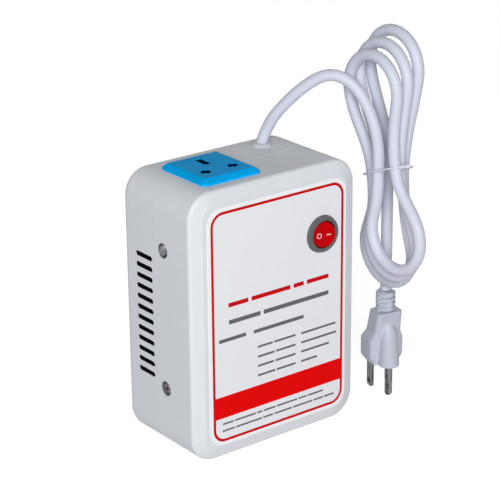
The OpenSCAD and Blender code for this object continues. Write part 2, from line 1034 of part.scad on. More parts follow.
// The hank's route: even strands run down through the waist and odd ones run up
function loop_of(k) = floor(k / 2);
function hank_plane(k) = hank_x + hank_step * loop_of(k);
function waist(k) = [
    hank_plane(k),
    k == 0 ? lead_y : k % 2 == 0 ? down_y + down_step * (loop_of(k) - 1) : up_y + up_step * loop_of(k),
    waist_z
];

// Fold j joins strand j to the next: even folds are at the bottom and odd ones at the top
function fold_side(j) = j % 2 == 0 ? 1 : -1;
function fold_lean(j) = j % 2 == 0 ? bottom_lean : top_lean;
function fold_middle(j) =
    j % 2 == 0 ?
    [bottom_y + bottom_step * loop_of(j), waist_z - bottom_reach - bottom_reach_step * loop_of(j) + fold_r] :
    [top_y, waist_z + top_reach + top_reach_step * loop_of(j) - fold_r];
function fold_turn(j, f) = -fold_lean(j) + (180 + 2 * fold_lean(j)) * f;
function fold_point(j, f) =
    let (a = fold_turn(j, f), s = fold_side(j), m = fold_middle(j))
    [hank_plane(j), m[0] + s * fold_r * cos(a), m[1] - s * fold_r * sin(a)];
function fold_way(j, f) =
    let (a = fold_turn(j, f), s = fold_side(j))
    [0, -s * sin(a), -s * cos(a)];

// Direction of strand k at the waist
function waist_way(k) =
    k == 0 || k == 2 * hank_loops ? [0, 0, -1] :
    unit(fold_point(k, 0) - fold_point(k - 1, 1));

// A smooth run from a to b that leaves along u and arrives along v
function eased(a, u, b, v, f) =
    let (l = norm(b - a), g = f * f, h = g * f)
    (2 * h - 3 * g + 1) * a + (h - 2 * g + f) * l * u + (3 * g - 2 * h) * b + (h - g) * l * v;

function hank_route(runs, folds) = concat(
    [lead_end],
    [
        for (j = [0 : 2 * hank_loops - 1])
            each concat(
                [
                    for (i = [0 : runs - 1])
                        eased(waist(j), waist_way(j), fold_point(j, 0), fold_way(j, 0), i / runs)
                ],
                [for (i = [0 : folds - 1]) fold_point(j, i / folds)],
                [
                    for (i = [0 : runs - 1])
                        eased(fold_point(j, 1), fold_way(j, 1), waist(j + 1), waist_way(j + 1), i / runs)
                ]
            )
    ],
    [for (z = [waist_z : (relief_top - waist_z) / 4 : relief_top]) [plug_x, plug_y, z]]
);

module cord_hank() {
    color("lavender")
        tube(hank_route(run_rings, fold_rings), cord_d, 6, [1, 0, 0]);
}

// Least gap of the hank to itself, between points more than a few diameters apart along it
function hank_gap(p) =
    let (skip = ceil(3 * cord_d / norm(p[3] - p[2])))
    min([
        for (i = [0 : len(p) - 1])
            for (j = [i + skip : 1 : len(p) - 1])
                norm(p[j] - p[i])
    ]) - cord_d;
echo(hank_self_gap = hank_gap(hank_route(2 * run_rings, 2 * fold_rings)));

// Where strand k crosses the slanted plane of the tie
function tie_rise(p) = tie_rise_x * (p[0] - hank_x) + tie_rise_y * (p[1] - lead_y);
function tie_place(k) = waist(k) + waist_way(k) * tie_rise(waist(k)) / waist_way(k)[2];

module strand_circles(r) {
    for (k = [0 : 2 * hank_loops])
        translate([tie_place(k)[0], tie_place(k)[1]])
            circle(r, $fn = 32);
}

// A thin tie drawn round the strands at the waist, with its twisted ends
module hank_tie() {
    inner = cord_d / 2 + tie_slack;
    color("white")
        multmatrix([
            [1, 0, 0, 0],
            [0, 1, 0, 0],
            [tie_rise_x, tie_rise_y, 1, waist_z - tie_rise_x * hank_x - tie_rise_y * lead_y]
        ])
            translate([0, 0, -tie_h / 2]) {
                linear_extrude(tie_h)
                    difference() {
                        hull()
                            strand_circles(inner + tie_t);
                        hull()
                            strand_circles(inner);
                    }
                translate([tie_place(1)[0], tie_place(1)[1] - inner - tie_t / 2, tie_h / 2])
                    rod_y(tie_end_r, -tie_end, 0);
            }
}

module at_plug() {
    translate([plug_x, plug_y, 0])
        rotate([0, 0, plug_turn])
            children();
}

// A slab of the plug's body, of the given width and depth, from z0 to z1
module plug_slab(w, d, y, z0, z1) {
    translate([0, y, z0])
        linear_extrude(z1 - z0)
            rounded_rect(w, d, plug_rim);
}

// The body flares from its shoulders to its face, with a hump over the ground pin
module plug_shell() {
    hull() {
        plug_slab(plug_w - 2 * face_inset[0], plug_d - 2 * face_inset[1], plug_mid, face_z, face_z + 1);
        plug_slab(plug_w, plug_d, plug_mid, face_z + flare_from, face_z + flare_from + flare_len);
        plug_slab(plug_top_w, plug_top_d, 0, shoulder_z - plug_rim, shoulder_z);
    }
    hull() {
        translate([0, ground_y, 0])
            rod_z(hump_r, face_z, face_z + 2);
        translate([0, hump_top_y, 0])
            rod_z(hump_top_r, shoulder_z - hump_drop - 1, shoulder_z - hump_drop);
    }
}

// Ribbed strain relief that narrows towards the lead
module plug_relief() {
    pitch = (relief_top - shoulder_z) / rib_count;
    fall = 0.5;
    groove = 0.7;
    for (i = [0 : rib_count - 1]) {
        r = relief_r - fall * i / rib_count;
        z = shoulder_z + pitch * i;
        rod_z(r - groove, z - 0.5, z + pitch);
        rod_z(r, z + 0.4 * pitch, z + pitch);
    }
}

module plug_body() {
    color("lavender")
        at_plug()
            difference() {
                union() {
                    plug_shell();
                    plug_relief();
                }
                for (side = [-1, 1])
                    translate([side * blade_pitch / 2, blade_y, face_z])
                        cube(
                            [blade_t + 2 * close_gap, blade_w + 2 * close_gap, 2 * (pin_root + close_gap)],
                            center = true
                        );
                translate([0, ground_y, 0])
                    rod_z(ground_d / 2 - pin_neck + close_gap, face_z - 1, face_z + pin_root + close_gap);
            }
}

module plug_blades() {
    slant = 1.2;
    color("silver")
        at_plug()
            for (side = [-1, 1])
                translate([side * blade_pitch / 2, blade_y, face_z])
                    rotate([90, 0, 90])
                        translate([0, 0, -blade_t / 2])
                            linear_extrude(blade_t)
                                difference() {
                                    polygon([
                                        [-blade_w / 2, pin_root], [-blade_w / 2, slant - blade_len],
                                        [slant - blade_w / 2, -blade_len], [blade_w / 2 - slant, -blade_len],
                                        [blade_w / 2, slant - blade_len], [blade_w / 2, pin_root]
                                    ]);
                                    translate([0, 3.5 - blade_len])
                                        circle(1.6);
                                }
}

module plug_ground_pin() {
    r = ground_d / 2;
    color("silver")
        at_plug()
            translate([0, ground_y, 0]) {
                rod_z(r, r, face_z);
                rod_z(r - pin_neck, face_z - 1, face_z + pin_root);
                translate([0, 0, r])
                    sphere(r);
            }
}

// A ring about the transformer's axis, open by gap degrees, from its section as a child
module about_axis(gap) {
    translate([0, toroid_y, toroid_z])
        rotate([90, 0, 0])
            rotate([0, 0, 90 + gap / 2])
                rotate_extrude(angle = 360 - gap)
                    children();
}

// Section of a layer of thickness t that starts at distance d outside the core
module layer_section(d, t) {
    difference() {
        core_section(d + t);
        core_section(d);
    }
}

module core_section(grow) {
    translate([core_ir - grow, -core_len / 2 - grow])
        square([core_or - core_ir + 2 * grow, core_len + 2 * grow]);
}

module toroid_core() {
    color("slategray")
        about_axis(0)
            core_section(0);
}

module core_insulation() {
    color("khaki")
        about_axis(tape_gap)
            layer_section(close_gap, insulation_t);
}

module primary_winding() {
    color("sienna")
        about_axis(tape_gap)
            layer_section(insulation_t + 2 * close_gap, primary_t);
}

module secondary_winding() {
    color("chocolate")
        about_axis(tape_gap)
            layer_section(insulation_t + primary_t + 3 * close_gap, secondary_t);
}

module outer_wrap() {
    color("black")
        about_axis(tape_gap)
            layer_section(insulation_t + primary_t + secondary_t + 4 * close_gap, wrap_t);
}

// A washer about the transformer's axis
module washer(r, hole_r, y0, y1) {
    translate([0, 0, toroid_z])
        difference() {
            rod_y(r, y0, y1);
            rod_y(hole_r, y0 - 1, y1 + 1);
        }
}

module rear_pad() {
    color("black")
        washer(core_or, post_r + 1, toroid_back, back_in);
}

module front_pad() {
    color("black")
        washer(core_or, bolt_d, front_pad_y, toroid_front);
}

module retaining_plate() {
    color("lightsteelblue")
        washer(core_or - 3, bolt_d / 2 + fit_gap, retainer_y, front_pad_y);
}

module bolt_washer() {
    color("silver")
        washer(bolt_d + 1, bolt_d / 2 + fit_gap, washer_y, retainer_y);
}

module centre_bolt() {
    head_h = 4;
    color("silver")
        translate([0, 0, toroid_z]) {
            rod_y(bolt_d / 2, washer_y - 0.5, post_front + insert_len - 2);
            translate([0, washer_y, 0])
                rotate([90, 0, 0])
                    cylinder(h = head_h, r = 0.96 * bolt_d, $fn = 6);
        }
}

module brass_insert() {
    color("gold")
        washer(insert_r, bolt_d / 2 + close_gap, post_front, post_front + insert_len - close_gap);
}

module thermal_cutout() {
    color("darkslategray")
        difference() {
            translate([0, toroid_y, toroid_z + toroid_or + thermal_size[2] / 2 - thermal_sink])
                cube(thermal_size, center = true);
            translate([0, 0, toroid_z])
                rod_y(toroid_or + close_gap, front_y, back_y);
        }
}

// A sleeve that slides on a blade of the given section, with its mouth at the origin, along -Z
module spade_sleeve() {
    slot = tab_blade + 2 * [close_gap, close_gap];
    mouth = tab_blade_len - spade_start + close_gap;
    difference() {
        translate([0, 0, -spade[2] / 2])
            cube(spade, center = true);
        translate([0, 0, -mouth / 2 + 0.5])
            cube([slot[0], slot[1], mouth + 1], center = true);
    }
}

module spade_terminals() {
    color("tomato") {
        for (x = [0, -blade_x])
            at_switch()
                translate([x, switch_back + spade_start, 0])
                    rotate([90, 0, 0])
                        spade_sleeve();
        for (side = [-1, 1])
            at_line(side)
                translate([0, 0, base_bottom - spade_start])
                    rotate([0, 0, 90])
                        spade_sleeve();
        at_earth()
            translate([0, 0, base_bottom - spade_start])
                spade_sleeve();
    }
}

// Ends of the wires: at the lead's cut end, on the switch, on the socket and on the windings
function tail_core(i) =
    [gland_x + 1.7 * sin(120 * i), gland_y - 1.7 * cos(120 * i), tail_end];
function switch_spade(x) = [switch_x + x, switch_back + spade_start + spade[2], switch_z];
function socket_spade(x, y) = [socket_x + x, socket_y + y, spade_end];
function on_toroid(angle, y, out) =
    [(toroid_or + out) * sin(angle), toroid_y + y, toroid_z + (toroid_or + out) * cos(angle)];

module wire(points, shade) {
    color(shade)
        tube(points, wire_d, 8, [0.3, 0.5, 0.8]);
}

// Bends of the wires are given in wire diameters, so that they stay as open as they are
module wire_live_in() {
    a = tail_core(0);
    b = switch_spade(0);
    wire([
        a, a - wire_d * [0, 0, 3], [a[0], a[1], b[2]] + wire_d * [0.75, -2.25, 2.5],
        b + wire_d * [-0.2, 4, 0.3], b + wire_d * [0, 1.5, 0], b
    ], "saddlebrown");
}

module wire_live_switched() {
    a = switch_spade(-blade_x);
    b = [thermal_size[0] / 2, toroid_y, toroid_z + toroid_or + 0.7 * wire_d];
    wire([
        a, a + wire_d * [0, 1.5, 0], on_toroid(24, -2.5 * wire_d, 4 * wire_d),
        b + wire_d * [3, 0, 0.75], b + wire_d * [1.25, 0, 0], b
    ], "saddlebrown");
}

module wire_neutral_in() {
    a = tail_core(1);
    wire([
        a, a - wire_d * [0, 0, 3], a + wire_d * [2.5, -0.5, -9], on_toroid(45, 3 * wire_d, 7 * wire_d),
        on_toroid(45, 3 * wire_d, 3 * wire_d), on_toroid(45, 3 * wire_d, close_gap)
    ], "royalblue");
}

module wire_earth() {
    a = tail_core(2);
    b = socket_spade(0, earth_back);
    wire([
        a, a - [0, 0, 0.55 * wire_dip], a - [4 * wire_d, wire_d, wire_dip],
        [(a[0] + b[0]) / 2, a[1] - 3 * wire_d, b[2] - wire_dip], b + [5 * wire_d, wire_d, -0.95 * wire_dip],
        b + [wire_d, 0, -0.68 * wire_dip], b - [0, 0, 0.32 * wire_dip], b
    ], "yellowgreen");
}

module wire_output_live() {
    a = socket_spade(-line_pitch / 2, -line_front);
    wire([
        a, a - [0, 0, 0.36 * wire_dip], a + [-wire_d, 3 * wire_d, -1.1 * wire_dip],
        on_toroid(-35, 1.5 * wire_d, 5 * wire_d), on_toroid(-35, 1.5 * wire_d, 2.5 * wire_d),
        on_toroid(-35, 1.5 * wire_d, close_gap)
    ], "firebrick");
}

module wire_output_neutral() {
    a = socket_spade(line_pitch / 2, -line_front);
    wire([
        a, a - [0, 0, 0.36 * wire_dip], a + [-wire_d, 4 * wire_d, -wire_dip],
        on_toroid(-17, 5 * wire_d, 4.5 * wire_d), on_toroid(-17, 5 * wire_d, 2.5 * wire_d),
        on_toroid(-17, 5 * wire_d, close_gap)
    ], "steelblue");
}

front_cover();
rear_cover();
front_label();
case_screws();
socket_faceplate();
socket_base();
socket_live_contact();
socket_neutral_contact();
socket_earth_contact();
socket_screw();
switch_body();
switch_rocker();
switch_spring();
switch_plunger();
switch_seesaw();
switch_common_terminal();
switch_line_terminal();
cord_gland();
cord_clamp();
cord_clamp_screws();
cord_tail();
cord_lead();
cord_hank();
hank_tie();
plug_body();
plug_blades();
plug_ground_pin();
toroid_core();
core_insulation();
primary_winding();
secondary_winding();
outer_wrap();
vent_screens();
rear_pad();
front_pad();
retaining_plate();
centre_bolt();
bolt_washer();
brass_insert();
thermal_cutout();
spade_terminals();
wire_live_in();
wire_live_switched();
wire_neutral_in();
wire_output_live();
wire_output_neutral();
wire_earth();
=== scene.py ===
"""Voltage converter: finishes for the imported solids, a printed front, a tied lead and its moulded plug."""

import json
import math

import bmesh
import bpy
from bpy.props import FloatProperty, FloatVectorProperty, IntProperty, PointerProperty
from mathutils import Matrix, Vector
from mathutils.geometry import convex_hull_2d


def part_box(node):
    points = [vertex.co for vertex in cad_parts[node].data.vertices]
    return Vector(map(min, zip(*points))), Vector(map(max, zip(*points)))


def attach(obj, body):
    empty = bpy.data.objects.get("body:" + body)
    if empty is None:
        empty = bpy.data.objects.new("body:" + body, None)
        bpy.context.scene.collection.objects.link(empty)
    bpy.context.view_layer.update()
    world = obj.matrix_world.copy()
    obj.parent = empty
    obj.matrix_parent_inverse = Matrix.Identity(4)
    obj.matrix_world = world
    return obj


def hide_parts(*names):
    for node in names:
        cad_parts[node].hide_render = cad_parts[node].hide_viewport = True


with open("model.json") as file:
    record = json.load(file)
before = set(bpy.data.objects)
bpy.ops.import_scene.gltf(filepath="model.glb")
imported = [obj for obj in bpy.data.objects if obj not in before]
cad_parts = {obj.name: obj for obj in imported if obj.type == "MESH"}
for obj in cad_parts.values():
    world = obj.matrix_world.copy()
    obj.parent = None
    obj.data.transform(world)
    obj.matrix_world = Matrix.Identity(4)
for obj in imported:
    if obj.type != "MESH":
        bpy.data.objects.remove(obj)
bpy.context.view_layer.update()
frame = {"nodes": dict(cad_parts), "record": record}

bl_info = {
    "name": "Voltage converter",
    "version": (1, 0, 0),
    "blender": (4, 5, 0),
    "location": "View3D > Sidebar > Converter",
    "description": "Dresses the solids of a voltage converter with its print, lead, plug and finishes",
    "category": "Object",
}

MM = 0.001

# Lead: its gland, and the steps of its arch from just inside the gland's top, in millimetres
GLAND = Vector((30, 17.5, 167))
LEAD_STEPS = (
    (-0.5, 0.5, -2), (1, -1.5, 5), (2.5, -3.5, 10.5), (4.5, -7, 17.5), (8, -11.5, 24), (11.5, -17, 31),
    (15.5, -23, 37), (19.5, -28.5, 42), (24, -35.5, 45), (28.5, -42, 43), (32.5, -48, 37.5),
    (35, -52, 30.5), (37, -55, 23.5), (38.5, -57.5, 15), (39.5, -59, 6.5), (40, -59.5, -2), (40, -59.5, -9),
)
STEP_POINTS = 4
SOFTEN_ROUNDS = 10

# Hank: places of its strands and folds, in millimetres
HANK_X = 70
WAIST_Z = 155.5
LEAD_Y = -42
DOWN_Y = -26
DOWN_STEP = 1.25
UP_Y = -58
UP_STEP = 6
BOTTOM_Y = -58
BOTTOM_STEP = 12
BOTTOM_REACH = 56.5
BOTTOM_REACH_STEP = 9.5
TOP_Y = -36
TOP_REACH = 68.5
TOP_REACH_STEP = 6
BOTTOM_LEAN = math.radians(20)
TOP_LEAN = math.radians(10)
RUN_POINTS = 10
FOLD_POINTS = 18
DROP_POINTS = 12

# Tie: how much its ring rises along X and along Y
TIE_RISE = Vector((-0.13, -0.38, 0))

# Plug: its axis, its turn and its levels, in millimetres
PLUG_AXIS = Vector((94, -23.5, 0))
PLUG_TURN = math.radians(-12.5)
PLUG_FACE = 20.6
PLUG_SHOULDER = 56
RELIEF_TOP = 69.5

# Switch: the rocker's pivot, its tilt at rest, its face, the slope of its two halves, and the radius of the
# bore round it, whose walls get painted shade, in millimetres
ROCKER_PIVOT = Vector((33.8, -34, 122.7))
ROCKER_TILT = math.radians(-10)
ROCKER_FACE = 2.9
ROCKER_DISH = math.tan(math.radians(5))
SHADED_BORE = 8.45

# Case screws: their place along Y and their levels, in millimetres
SCREW_Y = -6.4
SCREW_LEVELS = (40.7, 126.2)

# Hollows with painted shade, their base colour darkened where shade falls: the middle and the half sizes of a
# box round the socket's apertures, round the vents and round each pair of screw recesses, in millimetres
UNDER_SIDES = 59.8
APERTURE_SHADE = (Vector((-22.5, -2.5, 158.2)), (16, 17, 10))
VENT_SHADE = (Vector((0, 12.75, 81.5)), (UNDER_SIDES, 8.6, 38.5))
RECESS_SHADE = tuple((Vector((0, SCREW_Y, z)), (UNDER_SIDES, 4.7, 4.7)) for z in SCREW_LEVELS)

# Print: where the label's face is, and the middle, half sizes and corner of its border, in millimetres
LABEL_FACE = -34.25
LABEL_MIDDLE = Vector((1.6, 0, 81.7))
BORDER_HALF = (48.4, 70.7)
BORDER_CORNER = 8.5

DUST_TONE = (0.36, 0.35, 0.33)


def linear(*rgb):
    """Scene colour of an sRGB colour given from 0 to 255."""
    return tuple(((c / 255 + 0.055) / 1.055) ** 2.4 if c > 10 else c / 255 / 12.92 for c in rgb)


def colour_property(name, description, default):
    return FloatVectorProperty(
        name=name, description=description, subtype="COLOR", default=default, min=0, max=1)


def length_property(name, description, default):
    return FloatProperty(name=name, description=description, unit="LENGTH", default=default)


class ConverterColours(bpy.types.PropertyGroup):
    """Colours of the surfaces that show"""

    case: colour_property("Case", "Moulded plastic of the two covers", (0.76, 0.79, 0.83))
    label: colour_property("Label", "Field of the film inside the border", (0.865, 0.875, 0.91))
    film: colour_property("Film", "Film outside the border", (0.95, 0.955, 0.965))
    border: colour_property("Border", "Ink of the border and the heading bars", linear(206, 14, 22))
    band: colour_property("Band", "Ink of the solid band", linear(236, 3, 4))
    print_grey: colour_property("Grey print", "Ink of the grey bars", linear(92, 96, 102))
    socket: colour_property("Socket", "Plastic of the socket's plate", (0.002, 0.43, 0.93))
    rocker: colour_property("Rocker", "Plastic of the switch's rocker", (0.54, 0.002, 0.004))
    lead: colour_property("Lead", "Sheath of the lead", (0.66, 0.68, 0.79))
    plug: colour_property("Plug", "Plastic of the moulded plug", (0.54, 0.575, 0.665))
    tie: colour_property("Tie", "Coating of the tie's wire", linear(226, 228, 236))


class ConverterSizes(bpy.types.PropertyGroup):
    """Sizes of the pieces that are made here"""

    lead_diameter: length_property("Lead diameter", "Outer diameter of the sheath", 0.007)
    fold_radius: length_property("Fold radius", "Radius of the hank's folds", 0.021)
    hank_step: length_property("Loop step", "Distance from one loop of the hank to the next", 0.008)
    hank_loops: IntProperty(name="Loops", description="Loops of the hank", default=3, min=1, max=3)
    tie_wire: length_property("Tie wire", "Diameter of the coated wire round the hank", 0.0011)
    relief_ribs: IntProperty(
        name="Relief ribs", description="Ribs on the plug's strain relief", default=4, min=2, max=8)
    border_width: length_property("Border width", "Width of the printed border", 0.0017)
    ink_height: length_property("Ink height", "Height of the ink over the film", 0.00004)


class ConverterLight(bpy.types.PropertyGroup):
    """Light and floor of the stage"""

    key_power: FloatProperty(
        name="Key power", description="Power of the soft box beside the camera", unit="POWER", default=48.3)
    fill: FloatProperty(name="Fill", description="Strength of the even light from all round", default=0.13)
    floor: colour_property("Floor", "Colour of the floor", (0.62, 0.62, 0.62))
    floor_lift: FloatProperty(
        name="Floor lift", description="Glow of the floor as it is seen", default=0.85)


def colours():
    return bpy.context.scene.converter_colours


def sizes():
    return bpy.context.scene.converter_sizes


def link_object(name, data):
    obj = bpy.data.objects.new(name, data)
    bpy.context.scene.collection.objects.link(obj)
    return obj


def mesh_piece(name, bm, material=None):
    """A new object from a bmesh in millimetres, with its place in its mesh."""
    bmesh.ops.recalc_face_normals(bm, faces=bm.faces)
    bmesh.ops.scale(bm, vec=(MM, MM, MM), verts=bm.verts)
    mesh = bpy.data.meshes.new(name)
    bm.to_mesh(mesh)
    bm.free()
    if material:
        mesh.materials.append(material)
    return link_object(name, mesh)


def plain_mesh(obj):
    """Replaces an object by the plain mesh that its modifiers give, and returns the new object."""
    name = obj.name
    graph = bpy.context.evaluated_depsgraph_get()
    mesh = bpy.data.meshes.new_from_object(obj.evaluated_get(graph))
    bpy.data.objects.remove(obj)
    mesh.name = name
    return link_object(name, mesh)


def smooth(obj, angle=None):
    """Shades a mesh smooth, with edges sharper than the angle kept crisp."""
    for polygon in obj.data.polygons:
        polygon.use_smooth = True
    if angle is None:
        return
    bm = bmesh.new()
    bm.from_mesh(obj.data)
    for edge in bm.edges:
        edge.smooth = len(edge.link_faces) == 2 and edge.calc_face_angle(0) < angle
    bm.to_mesh(obj.data)
    bm.free()


def closed_ring(bm, rings):
    """Joins four outlines into a closed ring: outer and inner at the back, then outer and inner in front."""
    back_out, back_in, front_out, front_in = [[bm.verts.new(point) for point in ring] for ring in rings]
    for a, b in ((back_out, back_in), (back_in, front_in), (front_in, front_out), (front_out, back_out)):
        for i in range(len(a)):
            j = (i + 1) % len(a)
            bm.faces.new((a[i], a[j], b[j], b[i]))


# Shader groups


def shader_group(name, outputs, inputs):
    """Turns a function that fills a shader group into one that returns it, filled on its first use."""
    def wrapped(fill):
        def group_once():
            if name in bpy.data.node_groups:
                return bpy.data.node_groups[name]
            group = bpy.data.node_groups.new(name, "ShaderNodeTree")
            group.interface.new_socket(name="Vector", in_out="INPUT", socket_type="NodeSocketVector")
            for label, default in inputs.items():
                socket = group.interface.new_socket(name=label, in_out="INPUT", socket_type="NodeSocketFloat")
                socket.default_value = default
            for label in outputs:
                group.interface.new_socket(name=label, in_out="OUTPUT", socket_type="NodeSocketFloat")
            entry = group.nodes.new("NodeGroupInput")
            leave = group.nodes.new("NodeGroupOutput")
            fill(group, entry.outputs, leave.inputs)
            return group
        return group_once
    return wrapped


def feed(tree, value, socket):
    """Gives a socket a value, or links another socket to it."""
    if isinstance(value, bpy.types.NodeSocket):
        tree.links.new(value, socket)
    else:
        socket.default_value = value


def new_node(tree, kind, inputs):
    """A new node with a value or a link on each of the named inputs."""
    node = tree.nodes.new(kind)
    for label, value in inputs.items():
        feed(tree, value, node.inputs[label])
    return node


def noise(tree, vector, scale, detail, rough=0.5):
    inputs = {"Vector": vector, "Scale": scale, "Detail": detail, "Roughness": rough}
    return new_node(tree, "ShaderNodeTexNoise", inputs).outputs["Fac"]


def math_node(tree, operation, *values):
    node = tree.nodes.new("ShaderNodeMath")
    node.operation = operation
    for value, socket in zip(values, node.inputs):
        feed(tree, value, socket)
    return node.outputs["Value"]


def times(tree, a, b):
    return math_node(tree, "MULTIPLY", a, b)


def ranged(tree, value, low, high, to_low, to_high):
    """Maps a value from one range to another, clamped."""
    inputs = {"Value": value, "From Min": low, "From Max": high, "To Min": to_low, "To Max": to_high}
    return new_node(tree, "ShaderNodeMapRange", inputs).outputs["Result"]


def mixed(tree, a, share_a, b, share_b):
    """The sum of two values by their shares."""
    return math_node(tree, "ADD", times(tree, a, share_a), times(tree, b, share_b))


def axes(tree, vector):
    """The X, Y and Z of a vector."""
    return new_node(tree, "ShaderNodeSeparateXYZ", {"Vector": vector}).outputs


def object_coords(tree):
    return tree.nodes.new("ShaderNodeTexCoord").outputs["Object"]


@shader_group("Moulded grain", ("Height", "Shade"), {"Grain": 2500.0, "Patch": 30.0})
def grain_group(group, entry, leave):
    """Fine grain of a moulded skin, with broad patches of shade."""
    fine = noise(group, entry["Vector"], entry["Grain"], 3, 0.6)
    broad = noise(group, entry["Vector"], entry["Patch"], 2)
    group.links.new(fine, leave["Height"])
    group.links.new(ranged(group, mixed(group, fine, 0.3, broad, 0.7), 0.3, 0.7, 0, 1), leave["Shade"])


@shader_group("Settled dust", ("Mask",), {"Amount": 0.2})
def dust_group(group, entry, leave):
    """Thin dust that lies in patches on what faces up."""
    facing = group.nodes.new("ShaderNodeNewGeometry")
    up = ranged(group, axes(group, facing.outputs["Normal"])["Z"], 0.3, 0.95, 0, 1)
    patches = ranged(group, noise(group, entry["Vector"], 45, 5, 0.65), 0.4, 0.75, 0, 1)
    group.links.new(times(group, times(group, up, patches), entry["Amount"]), leave["Mask"])


@shader_group("Drawn metal", ("Height", "Shade"), {"Lines": 3000.0})
def streak_group(group, entry, leave):
    """Drawn lines along Z of a turned or stamped metal, with stains."""
    drawn = new_node(group, "ShaderNodeMapping", {"Vector": entry["Vector"], "Scale": (1, 1, 0.03)})
    lines = noise(group, drawn.outputs["Vector"], entry["Lines"], 2)
    stains = noise(group, entry["Vector"], 250, 3)
    group.links.new(lines, leave["Height"])
    group.links.new(ranged(group, mixed(group, lines, 0.6, stains, 0.4), 0.43, 0.57, 0, 1), leave["Shade"])


@shader_group("Wound turns", ("Height", "Shade"), {"Turns": 220.0})
def turns_group(group, entry, leave):
    """Turns of wire wound round a ring whose axis runs along Y."""
    parts = axes(group, entry["Vector"])
    angle = math_node(group, "ARCTAN2", parts["X"], parts["Z"])
    wave = math_node(group, "SINE", times(group, angle, entry["Turns"]))
    height = ranged(group, wave, -1, 1, 0, 1)
    group.links.new(height, leave["Height"])
    group.links.new(height, leave["Shade"])


@shader_group("Rounded field", ("Mask",), {"Half X": 0.05, "Half Z": 0.05, "Corner": 0.005})
def field_group(group, entry, leave):
    """1 inside a rounded rectangle about the origin across Y, otherwise 0."""
    parts = axes(group, entry["Vector"])
    squares = []
    for axis in "XZ":
        span = math_node(group, "SUBTRACT", entry["Half " + axis], entry["Corner"])
        out = math_node(group, "SUBTRACT", math_node(group, "ABSOLUTE", parts[axis]), span)
        squares.append(math_node(group, "POWER", math_node(group, "MAXIMUM", out, 0), 2))
    reach = math_node(group, "SQRT", math_node(group, "ADD", *squares))
    group.links.new(math_node(group, "LESS_THAN", reach, entry["Corner"]), leave["Mask"])


# Materials


def new_material(name):
    material = bpy.data.materials.new(name)
    material.use_nodes = True
    tree = material.node_tree
    return material, tree, tree.nodes["Principled BSDF"], object_coords(tree)


def place_group(tree, group, vector, **values):
    node = tree.nodes.new("ShaderNodeGroup")
    node.node_tree = group
    tree.links.new(vector, node.inputs["Vector"])
    for label, value in values.items():
        node.inputs[label].default_value = value
    return node.outputs


def blend_colour(tree, factor, a, b):
    """Mixes two colours, each a tuple or a socket, by a factor socket."""
    node = tree.nodes.new("ShaderNodeMix")
    node.data_type = "RGBA"
    tree.links.new(factor, node.inputs["Factor"])
    for value, socket in ((a, node.inputs[6]), (b, node.inputs[7])):
        feed(tree, (*value, 1) if isinstance(value, tuple) else value, socket)
    return node.outputs[2]


def bump(tree, shader, height, depth):
    node = new_node(tree, "ShaderNodeBump", {"Strength": 1, "Distance": depth, "Height": height})
    tree.links.new(node.outputs["Normal"], shader.inputs["Normal"])


def shades(colour, spread):
    """A darker and a lighter tuple of a colour."""
    return (tuple(min(1, c * (1 - spread)) for c in colour),
            tuple(min(1, c * (1 + spread)) for c in colour))


def vary(tree, shader, shade, colour, spread, rough_low, rough_high):
    """Varies a shader's base colour and roughness with a shade from 0 to 1."""
    base = blend_colour(tree, shade, *shades(tuple(colour), spread))
    tree.links.new(base, shader.inputs["Base Color"])
    tree.links.new(ranged(tree, shade, 0, 1, rough_low, rough_high), shader.inputs["Roughness"])


def moved(tree, coords, middle):
    """Coordinates about a middle given in millimetres."""
    inputs = {"Vector": coords, "Location": -middle * MM}
    return new_node(tree, "ShaderNodeMapping", inputs).outputs["Vector"]


def over_base(material, mask, tone):
    """Blends a tone over a material's base colour by a mask."""
    tree = material.node_tree
    base = tree.nodes["Principled BSDF"].inputs["Base Color"]
    tree.links.new(blend_colour(tree, mask, base.links[0].from_socket, tuple(tone)), base)


def plastic(name, colour, roughness, grain=2500.0, depth=0.00002, spread=0.03, dust=0.0, patch=30.0,
            gloss=0.3):
    """Moulded or coated plastic with a fine grain, broad shades and dust on what faces up."""
    material, tree, shader, coords = new_material(name)
    skin = place_group(tree, grain_group(), coords, Grain=grain, Patch=patch)
    vary(tree, shader, skin["Shade"], colour, spread, roughness - 0.05, roughness + 0.07)
    if dust:
        over_base(material, place_group(tree, dust_group(), coords, Amount=dust)["Mask"], DUST_TONE)
    shader.inputs["Specular IOR Level"].default_value = gloss
    bump(tree, shader, skin["Height"], depth)
    return material


def two_tone(name, colour, roughness, inside, middle, half, corner, **values):
    """Plastic with another tone inside a rounded rectangle across Y, given in millimetres."""
    material = plastic(name, colour, roughness, **values)
    tree = material.node_tree
    node = place_group(tree, field_group(), moved(tree, object_coords(tree), middle), **{
        "Half X": half[0] * MM, "Half Z": half[1] * MM, "Corner": corner * MM})
    over_base(material, node["Mask"], inside)
    return material


def with_painted_shade(name, colour, roughness, shade_boxes, **values):
    """Plastic with painted shade in its hollows, each a box with its middle and half sizes in millimetres,
    and a tone.
    """
    material = plastic(name, colour, roughness, **values)
    tree = material.node_tree
    for (middle, half), tone in shade_boxes:
        parts = axes(tree, moved(tree, object_coords(tree), middle))
        x, y, z = (math_node(tree, "LESS_THAN", math_node(tree, "ABSOLUTE", parts[axis]), reach * MM)
                   for axis, reach in zip("XYZ", half))
        over_base(material, times(tree, times(tree, x, y), z), tone)
    return material


def metal(name, colour, roughness, lines=3000.0, spread=0.12):
    """Drawn or stamped metal with fine lines and faint stains."""
    material, tree, shader, coords = new_material(name)
    drawn = place_group(tree, streak_group(), coords, Lines=lines)
    vary(tree, shader, drawn["Shade"], colour, spread, roughness - 0.06, roughness + 0.1)
    shader.inputs["Metallic"].default_value = 1
    bump(tree, shader, drawn["Height"], 0.00002)
    return material


